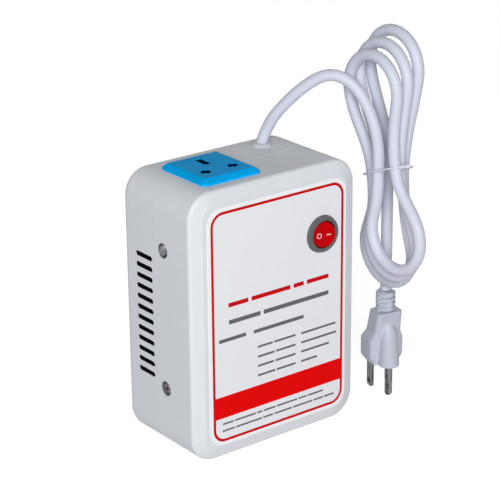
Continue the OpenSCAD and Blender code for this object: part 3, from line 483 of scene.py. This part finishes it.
def winding(name, colour, turns, roughness=0.35):
    """Enamelled wire or tape in turns round the transformer's ring."""
    material, tree, shader, coords = new_material(name)
    low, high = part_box("toroid_core")
    wound = place_group(tree, turns_group(), moved(tree, coords, (low + high) / 2 / MM), Turns=turns)
    vary(tree, shader, wound["Shade"], colour, 0.3, roughness + 0.15, roughness)
    bump(tree, shader, wound["Height"], 0.0003)
    return material


def material_once(name, maker, *args, **values):
    """The material of that name, made on its first use."""
    return bpy.data.materials.get(name) or maker(name, *args, **values)


def sheath(name, colour):
    """Flexible plastic of the lead and its plug."""
    return material_once(
        name, plastic, colour, 0.42, grain=900, depth=0.00003, spread=0.025, patch=25, dust=0.1)


def ink(name, colour, roughness, spread, **values):
    """Ink on a smooth face."""
    return material_once(
        name, plastic, colour, roughness, grain=1200, depth=0.000006, spread=spread, **values)


# Stage and camera


class CONVERTER_OT_stage(bpy.types.Operator):
    """Makes the floor, the soft light, the white background and the camera"""

    bl_idname = "converter.stage"
    bl_label = "Stage"

    floor_half = 4000

    # Key light: where it points, the way to it, its distance and its diameter, in metres
    key_aim = Vector((0.02, 0, 0.09))
    key_way = Vector((-0.566, -0.738, 0.369)).normalized()
    key_distance = 2.4
    key_size = 1.1

    # Camera fitted to the photo: its angles, the origin in its own axes in millimetres, and its lens
    azimuth = math.radians(-37.542)
    elevation = math.radians(20.787)
    roll = math.radians(-0.529)
    origin_seen = Vector((-4.675, -103.34, -1154.849))
    lens = 136.64

    def execute(self, context):
        scene = context.scene
        light = scene.converter_light
        scene.view_settings.view_transform = "Standard"
        self.background(scene, light)
        self.floor(light)
        self.key_light(light)
        self.camera(scene)
        return {"FINISHED"}

    def seen_directly(self, tree):
        """1 for camera, glossy and transmission rays, otherwise 0."""
        path = tree.nodes.new("ShaderNodeLightPath").outputs
        some = math_node(tree, "MAXIMUM", path["Is Camera Ray"], path["Is Glossy Ray"])
        return math_node(tree, "MAXIMUM", some, path["Is Transmission Ray"])

    def background(self, scene, light):
        world = bpy.data.worlds.new("white_surround")
        scene.world = world
        world.use_nodes = True
        tree = world.node_tree
        shader = tree.nodes["Background"]
        shader.inputs["Color"].default_value = (1, 1, 1, 1)
        strength = ranged(tree, self.seen_directly(tree), 0, 1, light.fill, 1)
        tree.links.new(strength, shader.inputs["Strength"])

    def floor(self, light):
        bm = bmesh.new()
        bmesh.ops.create_grid(bm, x_segments=8, y_segments=8, size=self.floor_half)
        floor = mesh_piece("floor", bm)
        material, tree, shader, coords = new_material("pale_floor")
        tint = blend_colour(tree, noise(tree, coords, 6, 2), *shades(tuple(light.floor), 0.01))
        tree.links.new(tint, shader.inputs["Base Color"])
        lift = ranged(tree, self.seen_directly(tree), 0, 1, 0, light.floor_lift)
        for label, value in (("Roughness", 1), ("Specular IOR Level", 0), ("Emission Color", (1, 1, 1, 1)),
                             ("Emission Strength", lift)):
            feed(tree, value, shader.inputs[label])
        floor.data.materials.append(material)

    def key_light(self, light):
        lamp = bpy.data.lights.new("soft_box", "AREA")
        lamp.energy = light.key_power
        lamp.shape = "DISK"
        lamp.size = self.key_size
        obj = link_object("soft_box", lamp)
        obj.location = self.key_aim + self.key_distance * self.key_way
        obj.rotation_euler = self.key_way.to_track_quat("Z", "Y").to_euler()

    def camera(self, scene):
        level = math.cos(self.elevation)
        back = Vector((math.sin(self.azimuth) * level, -math.cos(self.azimuth) * level,
                       math.sin(self.elevation)))
        right = Vector((0, 0, 1)).cross(back).normalized()
        up = back.cross(right)
        c, s = math.cos(self.roll), math.sin(self.roll)
        turn = Matrix((c * right + s * up, c * up - s * right, back)).transposed()
        data = bpy.data.cameras.new("view_camera")
        data.sensor_width = 36
        data.lens = self.lens
        data.clip_end = 20
        camera = link_object("view_camera", data)
        camera.matrix_world = Matrix.Translation(-(turn @ self.origin_seen) * MM) @ turn.to_4x4()
        scene.camera = camera


# Lead, tie and plug


def waist(k):
    """Where strand k passes the tie: even strands run down and odd ones run up."""
    loop = k // 2
    if k == 0:
        y = LEAD_Y
    elif k % 2 == 0:
        y = DOWN_Y + DOWN_STEP * (loop - 1)
    else:
        y = UP_Y + UP_STEP * loop
    return Vector((HANK_X + sizes().hank_step / MM * loop, y, WAIST_Z))


def fold(j, share):
    """Point and direction on fold j, which joins strand j to the next, at a share of its turn."""
    loop = j // 2
    radius = sizes().fold_radius / MM
    low = j % 2 == 0
    side = 1 if low else -1
    lean = BOTTOM_LEAN if low else TOP_LEAN
    if low:
        y, z = BOTTOM_Y + BOTTOM_STEP * loop, WAIST_Z - BOTTOM_REACH - BOTTOM_REACH_STEP * loop + radius
    else:
        y, z = TOP_Y, WAIST_Z + TOP_REACH + TOP_REACH_STEP * loop - radius
    turn = -lean + (math.pi + 2 * lean) * share
    point = Vector((waist(j).x, y + side * radius * math.cos(turn), z - side * radius * math.sin(turn)))
    return point, Vector((0, -side * math.sin(turn), -side * math.cos(turn)))


def waist_way(k):
    if k in (0, 2 * sizes().hank_loops):
        return Vector((0, 0, -1))
    return (fold(k, 0)[0] - fold(k - 1, 1)[0]).normalized()


def eased(a, slope_a, b, slope_b, count):
    """Points of a smooth run from a to b with the given slopes, without b itself."""
    points = []
    for i in range(count):
        f = i / count
        points.append((2 * f ** 3 - 3 * f ** 2 + 1) * a + (f ** 3 - 2 * f ** 2 + f) * slope_a
                      + (3 * f ** 2 - 2 * f ** 3) * b + (f ** 3 - f ** 2) * slope_b)
    return points


def run(a, way_a, b, way_b):
    """Points of a strand between a fold and the waist, without its end."""
    reach = (b - a).length
    return eased(a, reach * way_a, b, reach * way_b, RUN_POINTS)


def through(knots):
    """Points of a smooth curve through the knots."""
    points = []
    for before, a, b, after in zip([knots[0], *knots], knots, knots[1:], [*knots[2:], knots[-1]]):
        points += eased(a, (b - before) / 2, b, (after - a) / 2, STEP_POINTS)
    return [*points, knots[-1]]


def softened(points):
    """The points with their bend evened out, and with both ends kept."""
    for _ in range(SOFTEN_ROUNDS):
        inner = [(a + 2 * b + c) / 4 for a, b, c in zip(points, points[1:], points[2:])]
        points = [points[0], *inner, points[-1]]
    return points


def lead_route():
    """The lead's middle line from the gland to the plug's relief, in millimetres."""
    points = softened(through([GLAND + Vector(step) for step in LEAD_STEPS]))
    for j in range(2 * sizes().hank_loops):
        first, first_way = fold(j, 0)
        last, last_way = fold(j, 1)
        points += run(waist(j), waist_way(j), first, first_way)
        points += [fold(j, i / FOLD_POINTS)[0] for i in range(FOLD_POINTS)]
        points += run(last, last_way, waist(j + 1), waist_way(j + 1))
    end = waist(2 * sizes().hank_loops)
    drop = Vector((0, 0, RELIEF_TOP - WAIST_Z))
    return points + [end + drop * i / DROP_POINTS for i in range(DROP_POINTS + 1)]


def round_curve(name, routes, diameter, sides):
    """A round wire along each route, given as points in millimetres and whether they close a ring."""
    curve = bpy.data.curves.new(name, "CURVE")
    curve.dimensions = "3D"
    curve.bevel_depth = diameter / 2
    curve.bevel_resolution = sides
    curve.use_fill_caps = True
    for route, closed in routes:
        spline = curve.splines.new("POLY")
        spline.points.add(len(route) - 1)
        spline.use_cyclic_u = closed
        spline.use_smooth = True
        for knot, point in zip(spline.points, route):
            knot.co = (*(point * MM), 1)
    return link_object(name, curve)


class CONVERTER_OT_lead(bpy.types.Operator):
    """Makes the lead's arch and its hank as one cord, from the gland to the plug"""

    bl_idname = "converter.lead"
    bl_label = "Lead"

    def execute(self, context):
        route = lead_route()
        lead = round_curve("lead", [(route, False)], sizes().lead_diameter, 7)
        lead.data.materials.append(sheath("lead_sheath", colours().lead))
        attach(lead, "case")
        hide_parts("cord_lead", "cord_hank")
        return {"FINISHED"}


class CONVERTER_OT_tie(bpy.types.Operator):
    """Makes the coated wire round the hank's waist and its twisted ends"""

    bl_idname = "converter.tie"
    bl_label = "Tie"

    # Ring: its room round the strands in millimetres, and points round each strand
    clearance = 1.7
    ring_points = 32

    # Twisted ends: length and radius in millimetres, turns, points, and the share where they start to flare
    # and by how much
    twist_length = 6.5
    twist_radius = 0.55
    twist_turns = 3
    twist_points = 48
    flare_start = 0.85
    flare = 0.8

    def execute(self, context):
        reach = sizes().lead_diameter / 2 / MM + self.clearance
        turns = [math.tau * i / self.ring_points for i in range(self.ring_points)]
        middles = [self.crossing(k) for k in range(2 * sizes().hank_loops + 1)]
        ring = [(middle.x + reach * math.cos(turn), middle.y + reach * math.sin(turn))
                for middle in middles for turn in turns]
        hull = [self.raised(Vector((*ring[i], WAIST_Z))) for i in convex_hull_2d(ring)]
        start = self.crossing(1) - Vector((0, reach, 0))
        routes = [(hull, True), (self.twisted(start, 0), False), (self.twisted(start, math.pi), False)]
        tie = plain_mesh(round_curve("twisted_tie", routes, sizes().tie_wire, 4))
        tie.data.materials.clear()
        tie.data.materials.append(material_once("tie_coating", plastic, colours().tie, 0.5, grain=1500))
        smooth(tie)
        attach(tie, "case")
        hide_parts("hank_tie")
        return {"FINISHED"}

    def raised(self, point):
        """A point at the waist's level, moved up or down into the ring's slanted plane."""
        return point + Vector((0, 0, TIE_RISE.dot(point - waist(0))))

    def crossing(self, k):
        """Where strand k passes through the slanted plane, brought back to the waist's level."""
        way = waist_way(k)
        point = waist(k) + way * (TIE_RISE.dot(waist(k) - waist(0)) / way.z)
        return Vector((point.x, point.y, WAIST_Z))

    def twisted(self, start, phase):
        points = []
        for i in range(self.twist_points + 1):
            share = i / self.twist_points
            turn = phase + math.tau * self.twist_turns * share
            spread = 1 + self.flare * max(0, share - self.flare_start) / (1 - self.flare_start)
            middle = self.raised(start - Vector((0, self.twist_length * share, 0)))
            points.append(middle + self.twist_radius * spread * Vector((math.cos(turn), 0, math.sin(turn))))
        return points


def node_tree(name, **inputs):
    """A new Geometry Nodes tree with a geometry input, the named inputs and a geometry output."""
    tree = bpy.data.node_groups.new(name, "GeometryNodeTree")
    ids = {}
    for label, kind in {"Geometry": "Geometry", **inputs}.items():
        socket = tree.interface.new_socket(name=label, in_out="INPUT", socket_type="NodeSocket" + kind)
        ids[label] = socket.identifier
    tree.interface.new_socket(name="Geometry", in_out="OUTPUT", socket_type="NodeSocketGeometry")
    entry = tree.nodes.new("NodeGroupInput")
    leave = tree.nodes.new("NodeGroupOutput")
    return tree, ids, entry.outputs, leave.inputs


def finish_tree(tree, geometry, material, leave):
    """Ends a tree in Realize Instances and Set Material."""
    realize = new_node(tree, "GeometryNodeRealizeInstances", {"Geometry": geometry})
    inputs = {"Geometry": realize.outputs["Geometry"], "Material": material}
    paint = new_node(tree, "GeometryNodeSetMaterial", inputs)
    tree.links.new(paint.outputs["Geometry"], leave["Geometry"])


def run_tree(obj, tree, ids, values):
    """Runs a tree on an object with the given values and returns the plain mesh object."""
    modifier = obj.modifiers.new(tree.name, "NODES")
    modifier.node_group = tree
    for label, value in values.items():
        modifier[ids[label]] = value
    return plain_mesh(obj)


def on_points(tree, entry, leave, shape, label, name):
    """Puts a shape on every point, with its Rotation or Scale from a vector attribute, and ends the tree."""
    vectors = new_node(tree, "GeometryNodeInputNamedAttribute", {"Name": name})
    vectors.data_type = "FLOAT_VECTOR"
    place = new_node(tree, "GeometryNodeInstanceOnPoints", {
        "Points": entry["Geometry"], "Instance": shape, label: vectors.outputs["Attribute"]})
    finish_tree(tree, place.outputs["Instances"], entry["Material"], leave)


def vector_node(tree, **parts):
    """A vector whose given parts come from sockets."""
    return new_node(tree, "ShaderNodeCombineXYZ", parts).outputs["Vector"]


def points_mesh(name, points, **attributes):
    """A mesh of loose points in metres, with vector attributes."""
    mesh = bpy.data.meshes.new(name)
    mesh.from_pydata(points, [], [])
    for label, vectors in attributes.items():
        layer = mesh.attributes.new(label, "FLOAT_VECTOR", "POINT")
        for item, vector in zip(layer.data, vectors):
            item.vector = vector
    return link_object(name, mesh)


def rounded_outline(w, h, r, corner=8):
    """Points of a rounded rectangle about the origin, anticlockwise."""
    points = []
    for i, (x, y) in enumerate(((1, 1), (-1, 1), (-1, -1), (1, -1))):
        for s in range(corner + 1):
            turn = math.pi / 2 * (i + s / corner)
            points.append((x * (w / 2 - r) + r * math.cos(turn), y * (h / 2 - r) + r * math.sin(turn)))
    return points


class CONVERTER_OT_plug(bpy.types.Operator):
    """Makes the moulded plug with the swelling of its ground pin and a slotted strain relief"""

    bl_idname = "converter.plug"
    bl_label = "Plug"

    voxel = 0.32

    # Levels of each form: width, depth, corner radius, offset along Y and height
    flare = ((17.5, 14.2, 3, 4, PLUG_FACE), (23.5, 15, 2.6, 4, PLUG_FACE + 4.5),
             (23.5, 15, 2.6, 4, PLUG_FACE + 16), (18.5, 13.5, 2.4, 2, PLUG_SHOULDER - 14))
    body = (flare[-1], (17, 13, 2.4, -0.8, PLUG_SHOULDER))
    hump = ((13, 13, 6.4, -5.4, PLUG_FACE), (13, 13, 6.4, -5.4, PLUG_FACE + 2),
            (11.6, 12, 5.7, -4.2, PLUG_SHOULDER - 15), (6, 6, 2.9, -3.2, PLUG_SHOULDER - 7))
    core = ((8.8, 8.8, 4.3, 0, PLUG_SHOULDER - 2), (8.2, 8.2, 4, 0, RELIEF_TOP - 1))

    # Ribs of the relief: radius, thickness as a share of the pitch, sides, and the webs' width and their
    # share of the diameter
    rib_radius = 6.15
    rib_share = 0.55
    rib_sides = 48
    web = 3.0
    web_share = 0.97

    # Where the hump is blended into the body: between these levels, up to this far behind the plug's axis,
    # and in how many rounds
    blend_levels = (PLUG_FACE + 1.5, PLUG_SHOULDER - 3)
    blend_front = 2
    blend_rounds = 40

    def execute(self, context):
        material = sheath("plug_vinyl", colours().plug)
        bm = bmesh.new()
        for form in (self.flare, self.body, self.hump, self.core):
            self.hull(bm, [(rounded_outline(w, d, r), y, z) for w, d, r, y, z in form])
        ribs = self.ribs(material)
        bm.from_mesh(ribs.data)
        bpy.data.objects.remove(ribs)
        place = Matrix.Translation(PLUG_AXIS) @ Matrix.Rotation(PLUG_TURN, 4, "Z")
        bmesh.ops.transform(bm, matrix=place, verts=bm.verts)
        plug = mesh_piece("plug_moulding", bm)
        skin = plug.modifiers.new("skin", "REMESH")
        skin.mode = "VOXEL"
        skin.voxel_size = self.voxel * MM
        soften = plug.modifiers.new("soften", "SMOOTH")
        soften.factor = 0.5
        soften.iterations = 3
        plug = plain_mesh(plug)
        self.blend(plug.data)
        plug.data.materials.clear()
        plug.data.materials.append(material)
        smooth(plug)
        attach(plug, "case")
        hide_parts("plug_body")
        return {"FINISHED"}

    def blend(self, mesh):
        """Evens out the front between two levels, so that the hump runs softly into the body."""
        low, high = self.blend_levels
        bm = bmesh.new()
        bm.from_mesh(mesh)
        front = [v for v in bm.verts
                 if low < v.co.z / MM < high and v.co.y / MM - PLUG_AXIS.y < self.blend_front]
        for _ in range(self.blend_rounds):
            bmesh.ops.smooth_vert(
                bm, verts=front, factor=0.5, use_axis_x=True, use_axis_y=True, use_axis_z=True)
        bm.to_mesh(mesh)
        bm.free()

    def hull(self, bm, levels):
        """Adds the convex hull of outlines at given offsets along Y and heights."""
        verts = [bm.verts.new((x, y + offset, z)) for outline, offset, z in levels for x, y in outline]
        result = bmesh.ops.convex_hull(bm, input=verts)
        inner = [v for v in result["geom_interior"] if isinstance(v, bmesh.types.BMVert)]
        bmesh.ops.delete(bm, geom=inner, context="VERTS")

    def ribs(self, material):
        """Rings of the relief, joined by webs that turn a quarter from one gap to the next."""
        tree, ids, entry, leave = node_tree(
            "Relief ribs", Count="Int", Pitch="Float", Radius="Float", Rib="Float", Web="Float",
            Material="Material")
        ring = new_node(tree, "GeometryNodeMeshCylinder", {
            "Vertices": self.rib_sides, "Radius": entry["Radius"], "Depth": entry["Rib"]})
        width = times(tree, entry["Radius"], 2 * self.web_share)
        web = new_node(tree, "GeometryNodeMeshCube", {
            "Size": vector_node(tree, X=width, Y=entry["Web"], Z=entry["Pitch"])})
        index = tree.nodes.new("GeometryNodeInputIndex").outputs["Index"]
        quarters = vector_node(tree, Z=times(tree, index, math.pi / 2))
        line = new_node(tree, "GeometryNodeMeshLine", {
            "Count": entry["Count"], "Offset": vector_node(tree, Z=entry["Pitch"])})
        join = tree.nodes.new("GeometryNodeJoinGeometry")
        for shape, turn in ((ring, {}), (web, {"Rotation": quarters})):
            place = new_node(tree, "GeometryNodeInstanceOnPoints", {
                "Points": line.outputs["Mesh"], "Instance": shape.outputs["Mesh"], **turn})
            tree.links.new(place.outputs["Instances"], join.inputs["Geometry"])
        finish_tree(tree, join.outputs["Geometry"], entry["Material"], leave)
        count = sizes().relief_ribs
        pitch = (RELIEF_TOP - PLUG_SHOULDER - 1) / count
        ribs = run_tree(points_mesh("relief_ribs", []), tree, ids,
                        {"Count": count, "Pitch": pitch, "Radius": self.rib_radius,
                         "Rib": self.rib_share * pitch, "Web": self.web, "Material": material})
        ribs.data.transform(Matrix.Translation((0, 0, PLUG_SHOULDER + 0.5 * pitch)))
        return ribs


# Screws, print and marks


class CONVERTER_OT_screws(bpy.types.Operator):
    """Makes the four pan-head screws in the recesses of the sides"""

    bl_idname = "converter.screws"
    bl_label = "Case screws"

    profile = ((0, 2.0), (1.4, 1.94), (2.5, 1.68), (3.4, 1.15), (3.9, 0.6), (4.0, 0.25), (3.9, 0), (1.5, 0),
               (1.5, -8.4), (0.9, -9.3), (0, -9.3))
    sides = 40
    crisp = math.radians(40)
    cross_half = 2.1
    cross_arm = 0.5
    cross_depth = 1.2

    # Depth of the heads' seats under the sides, and each screw's turn by its side and by its level
    seat = 2.0
    turn_by_side = 0.35
    turn_by_level = 0.01

    def execute(self, context):
        steel = material_once("screw_zinc", metal, (0.19, 0.19, 0.2), 0.45, lines=1800)
        screw = self.screw_form()
        low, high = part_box("case_screws")
        points, turns = [], []
        for side, edge in ((-1, low.x), (1, high.x)):
            for z in SCREW_LEVELS:
                points.append((edge - side * self.seat * MM, SCREW_Y * MM, z * MM))
                turns.append((self.turn_by_side * side + self.turn_by_level * z, side * math.pi / 2, 0))
        seats = points_mesh("pan_screws", points, turn=turns)
        tree, ids, entry, leave = node_tree("Screws on seats", Screw="Object", Material="Material")
        info = new_node(tree, "GeometryNodeObjectInfo", {"Object": entry["Screw"]})
        on_points(tree, entry, leave, info.outputs["Geometry"], "Rotation", "turn")
        screws = run_tree(seats, tree, ids, {"Screw": screw, "Material": steel})
        bpy.data.objects.remove(screw)
        smooth(screws, self.crisp)
        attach(screws, "case")
        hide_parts("case_screws")
        return {"FINISHED"}

    def screw_form(self):
        """One screw with its head up, cut with a cross for a driver."""
        bm = bmesh.new()
        rim = [bm.verts.new((r, 0, z)) for r, z in self.profile]
        edges = [bm.edges.new(pair) for pair in zip(rim, rim[1:])]
        bmesh.ops.spin(bm, geom=rim + edges, cent=(0, 0, 0), axis=(0, 0, 1), angle=math.tau, steps=self.sides)
        bmesh.ops.remove_doubles(bm, verts=bm.verts, dist=0.001)
        screw = mesh_piece("screw_form", bm)
        bm = bmesh.new()
        top = self.profile[0][1]
        for half in ((self.cross_half, self.cross_arm), (self.cross_arm, self.cross_half)):
            arm = bmesh.ops.create_cube(bm, size=2)["verts"]
            bmesh.ops.scale(bm, vec=(*half, self.cross_depth), verts=arm)
            bmesh.ops.translate(bm, vec=(0, 0, top), verts=arm)
        cutter = mesh_piece("cross_cutter", bm)
        cut = screw.modifiers.new("cross", "BOOLEAN")
        cut.object = cutter
        cut.solver = "EXACT"
        cut.use_self = True
        screw = plain_mesh(screw)
        bpy.data.objects.remove(cutter)
        return screw


class CONVERTER_OT_label_print(bpy.types.Operator):
    """Prints the front: a border line, a solid band and rows of plain bars"""

    bl_idname = "converter.label_print"
    bl_label = "Label print"

    # Rows of bars: left, right, level, height and the bars' shares, with gaps as a share of the height.
    # The band lies over the border's line, so its face is a little higher
    word_gap = 0.9
    band = ((-46.0, 49.2, 32.8, 13.6, (1,)),)
    band_lift = 0.02
    heading = ((-35.0, 38.9, 95.3, 2.6, (13, 26, 7, 15)),)
    grey_rows = (
        (-34.8, 38.9, 84.8, 2.6, (16, 34)),
        (-42.0, -22.6, 74.4, 2.2, (18,)),
        (-17.0, 20.0, 74.2, 2.2, (34,)),
        (-14.2, 13.9, 64.0, 1.3, (9, 13)),
        (-14.2, 13.9, 57.8, 1.3, (11, 13)),
        (-14.2, 13.9, 51.9, 1.3, (11, 14)),
        (-14.2, 13.9, 45.9, 1.3, (9, 10)),
        (18.2, 44.5, 63.8, 1.3, (24,)),
        (18.2, 45.0, 57.9, 1.3, (24,)),
        (18.2, 39.5, 52.1, 1.3, (20,)),
        (18.2, 30.4, 45.9, 1.3, (11,)),
        (-40.0, 35.0, 22.2, 1.1, (6, 12, 3, 7, 12, 5, 9)),
        (-40.4, 43.4, 17.8, 1.1, (6, 13, 5, 9, 10, 5, 5)),
    )

    def execute(self, context):
        tones = colours()
        red = ink("border_ink", tones.border, 0.4, 0.05, gloss=0.05)
        solid = ink("band_ink", tones.band, 0.36, 0.04, gloss=0.05)
        grey = ink("grey_ink", tones.print_grey, 0.45, 0.06)
        for piece in (mesh_piece("label_border", self.border_mesh(), red),
                      self.bars("label_band", self.band, solid, self.band_lift),
                      self.bars("heading_bars", self.heading, red),
                      self.bars("grey_bars", self.grey_rows, grey)):
            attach(piece, "case")
        return {"FINISHED"}

    def depth_pair(self):
        """Back and front of the ink along Y: it starts just inside the film."""
        height = sizes().ink_height / MM
        return LABEL_FACE + height / 2, LABEL_FACE - height

    def border_mesh(self):
        w, h = (2 * half for half in BORDER_HALF)
        line = sizes().border_width / MM
        outer = rounded_outline(w, h, BORDER_CORNER, corner=12)
        inner = rounded_outline(w - 2 * line, h - 2 * line, BORDER_CORNER - line, corner=12)
        bm = bmesh.new()
        closed_ring(bm, [[LABEL_MIDDLE + Vector((x, y, z)) for x, z in outline]
                         for y in self.depth_pair() for outline in (outer, inner)])
        return bm

    def bars(self, name, rows, material, lift=0):
        """Flat bars in rows, with each row shared in the given proportions."""
        back, front = self.depth_pair()
        front -= lift
        points, spans = [], []
        for x, end, z, height, shares in rows:
            gap = self.word_gap * height
            room = end - x - gap * (len(shares) - 1)
            for share in shares:
                w = room * share / sum(shares)
                points.append(Vector((x + w / 2, (back + front) / 2, z)) * MM)
                spans.append(Vector((w, back - front, height)) * MM)
                x += w + gap
        tree, ids, entry, leave = node_tree(f"Bars {name}", Material="Material")
        bar = new_node(tree, "GeometryNodeMeshCube", {"Size": (1, 1, 1)})
        on_points(tree, entry, leave, bar.outputs["Mesh"], "Scale", "span")
        return run_tree(points_mesh(name, points, span=spans), tree, ids, {"Material": material})


class CONVERTER_OT_rocker_marks(bpy.types.Operator):
    """Marks the two ends of the rocker with a ring and a dash"""

    bl_idname = "converter.rocker_marks"
    bl_label = "Rocker marks"

    ring_x = -3.4
    ring_radii = (1.62, 1.22)
    ring_points = 40
    height = 0.05
    sink = 0.03

    # The dash's left and right ends, half its width, its corners as a share of that, and its small middle
    dash = (1.4, 4.4, 0.23)
    dash_round = 0.98
    dash_hole = 0.02

    def execute(self, context):
        bm = bmesh.new()
        turns = [math.tau * i / self.ring_points for i in range(self.ring_points)]
        self.plate(bm, *[[(self.ring_x + r * math.cos(t), r * math.sin(t)) for t in turns]
                         for r in self.ring_radii])
        x0, x1, half = self.dash
        middle = (x0 + x1) / 2
        outline = rounded_outline(x1 - x0, 2 * half, half * self.dash_round, corner=6)
        self.plate(bm, *[[(middle + k * x, k * z) for x, z in outline] for k in (1, self.dash_hole)])
        bmesh.ops.remove_doubles(bm, verts=bm.verts, dist=0.0005)
        place = Matrix.Translation(ROCKER_PIVOT) @ Matrix.Rotation(ROCKER_TILT, 4, "Z")
        bmesh.ops.transform(bm, matrix=place, verts=bm.verts)
        marks = mesh_piece("rocker_marks", bm, ink("mark_white", linear(246, 232, 232), 0.45, 0.03))
        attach(marks, "rocker")
        return {"FINISHED"}

    def plate(self, bm, outer, inner):
        """A thin closed ring on the rocker's sloped face."""
        closed_ring(bm, [[(x, -ROCKER_FACE - abs(x) * ROCKER_DISH - lift, z) for x, z in outline]
                         for lift in (-self.sink, self.height) for outline in (outer, inner)])


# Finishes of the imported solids


class CONVERTER_OT_finishes(bpy.types.Operator):
    """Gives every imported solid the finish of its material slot"""

    bl_idname = "converter.finishes"
    bl_label = "Finishes"

    def execute(self, context):
        tones = colours()
        # Painted shade: near black inside the vents and dark grey inside the screw recesses of the case
        case_painted_shade = ((VENT_SHADE, (0.006, 0.006, 0.007)), *((box, (0.14, 0.14, 0.145)) for box in RECESS_SHADE))
        makers = {
            "case_white": (with_painted_shade, tones.case, 0.46,
                           dict(shade_boxes=case_painted_shade, grain=2600, depth=0.00003, spread=0.015, dust=0.1)),
            "label_film": (two_tone, tones.film, 0.36,
                           dict(inside=tones.label, middle=LABEL_MIDDLE, half=BORDER_HALF,
                                corner=BORDER_CORNER, grain=500, depth=0.000008, spread=0.006)),
            "screw_steel": (metal, (0.56, 0.57, 0.60), 0.32, {}),
            # Painted shade: near black inside the socket's apertures
            "socket_blue": (with_painted_shade, tones.socket, 0.34,
                            dict(shade_boxes=((APERTURE_SHADE, (0.0, 0.012, 0.04)),), grain=3000, depth=0.00001,
                                 gloss=0.01)),
            "socket_ivory": (plastic, (0.72, 0.68, 0.56), 0.5, {}),
            "contact_brass": (metal, (0.76, 0.55, 0.22), 0.3, {}),
            # Painted shade: near black inside the bore round the rocker
            "bezel_grey": (two_tone, (0.115, 0.118, 0.125), 0.45,
                           dict(inside=(0.004, 0.004, 0.004), middle=ROCKER_PIVOT, half=(SHADED_BORE, SHADED_BORE),
                                corner=SHADED_BORE, grain=3000, depth=0.00001, spread=0.08)),
            "rocker_red": (plastic, tones.rocker, 0.3,
                           dict(grain=3000, depth=0.00001, spread=0.05, gloss=0.02)),
            "gland_white": (plastic, (0.58, 0.60, 0.65), 0.5, dict(grain=1200, depth=0.00003, dust=0.15)),
            "clamp_grey": (plastic, (0.3, 0.3, 0.31), 0.5, {}),
            "lead_white": (plastic, tones.lead, 0.42, dict(grain=900, depth=0.00003, spread=0.025)),
            "tie_white": (plastic, tones.tie, 0.5, {}),
            # The pins' strong light and dark streaks are partly drawn lines and partly painted reflection
            "plug_metal": (metal, (0.13, 0.13, 0.133), 0.3, dict(lines=700, spread=0.6)),
            "core_steel": (metal, (0.34, 0.35, 0.37), 0.4, dict(lines=1500)),
            "winding_copper": (winding, (0.50, 0.20, 0.07), 240, {}),
            "tape_yellow": (winding, (0.74, 0.52, 0.08), 36, dict(roughness=0.3)),
            # Foam pad behind the vents: black, and darkened further without gloss as painted shade of the
            # case's inside
            "pad_black": (plastic, (0.004, 0.004, 0.005), 0.85,
                          dict(grain=600, depth=0.0002, spread=0.3, gloss=0.0)),
            "cutout_black": (plastic, (0.02, 0.02, 0.025), 0.5, {}),
            "spade_red": (plastic, (0.6, 0.06, 0.03), 0.4, {}),
            "wire_brown": (plastic, (0.16, 0.06, 0.02), 0.45, {}),
            "wire_blue": (plastic, (0.02, 0.10, 0.45), 0.45, {}),
            "wire_red": (plastic, (0.5, 0.02, 0.02), 0.45, {}),
            "wire_green": (plastic, (0.25, 0.45, 0.03), 0.45, {}),
        }
        for row in frame["record"]["subparts"]:
            slot = row["material_slot"]
            maker, tone, number, extra = makers[slot]
            mesh = frame["nodes"][row["node"]].data
            mesh.materials.clear()
            mesh.materials.append(material_once(slot + "_finish", maker, tone, number, **extra))
        return {"FINISHED"}


OPERATORS = (
    CONVERTER_OT_stage, CONVERTER_OT_plug, CONVERTER_OT_tie, CONVERTER_OT_lead, CONVERTER_OT_screws,
    CONVERTER_OT_label_print, CONVERTER_OT_rocker_marks, CONVERTER_OT_finishes,
)


class CONVERTER_PT_panel(bpy.types.Panel):
    """Lists the operators that dress the converter, its colours, its sizes and its light"""

    bl_idname = "CONVERTER_PT_panel"
    bl_label = "Voltage converter"
    bl_space_type = "VIEW_3D"
    bl_region_type = "UI"
    bl_category = "Converter"

    def draw(self, context):
        for operator in OPERATORS:
            self.layout.operator(operator.bl_idname)
        for label, group in GROUPS:
            for name in group.__annotations__:
                self.layout.prop(getattr(context.scene, label), name)


GROUPS = (
    ("converter_colours", ConverterColours),
    ("converter_sizes", ConverterSizes),
    ("converter_light", ConverterLight),
)


def register():
    for name, group in GROUPS:
        bpy.utils.register_class(group)
        setattr(bpy.types.Scene, name, PointerProperty(type=group))
    for operator in OPERATORS:
        bpy.utils.register_class(operator)
    bpy.utils.register_class(CONVERTER_PT_panel)


def unregister():
    bpy.utils.unregister_class(CONVERTER_PT_panel)
    for operator in reversed(OPERATORS):
        bpy.utils.unregister_class(operator)
    for name, group in reversed(GROUPS):
        delattr(bpy.types.Scene, name)
        bpy.utils.unregister_class(group)


def main():
    register()
    for operator in OPERATORS:
        family, name = operator.bl_idname.split(".")
        getattr(getattr(bpy.ops, family), name)()


if __name__ == "__main__":
    main()
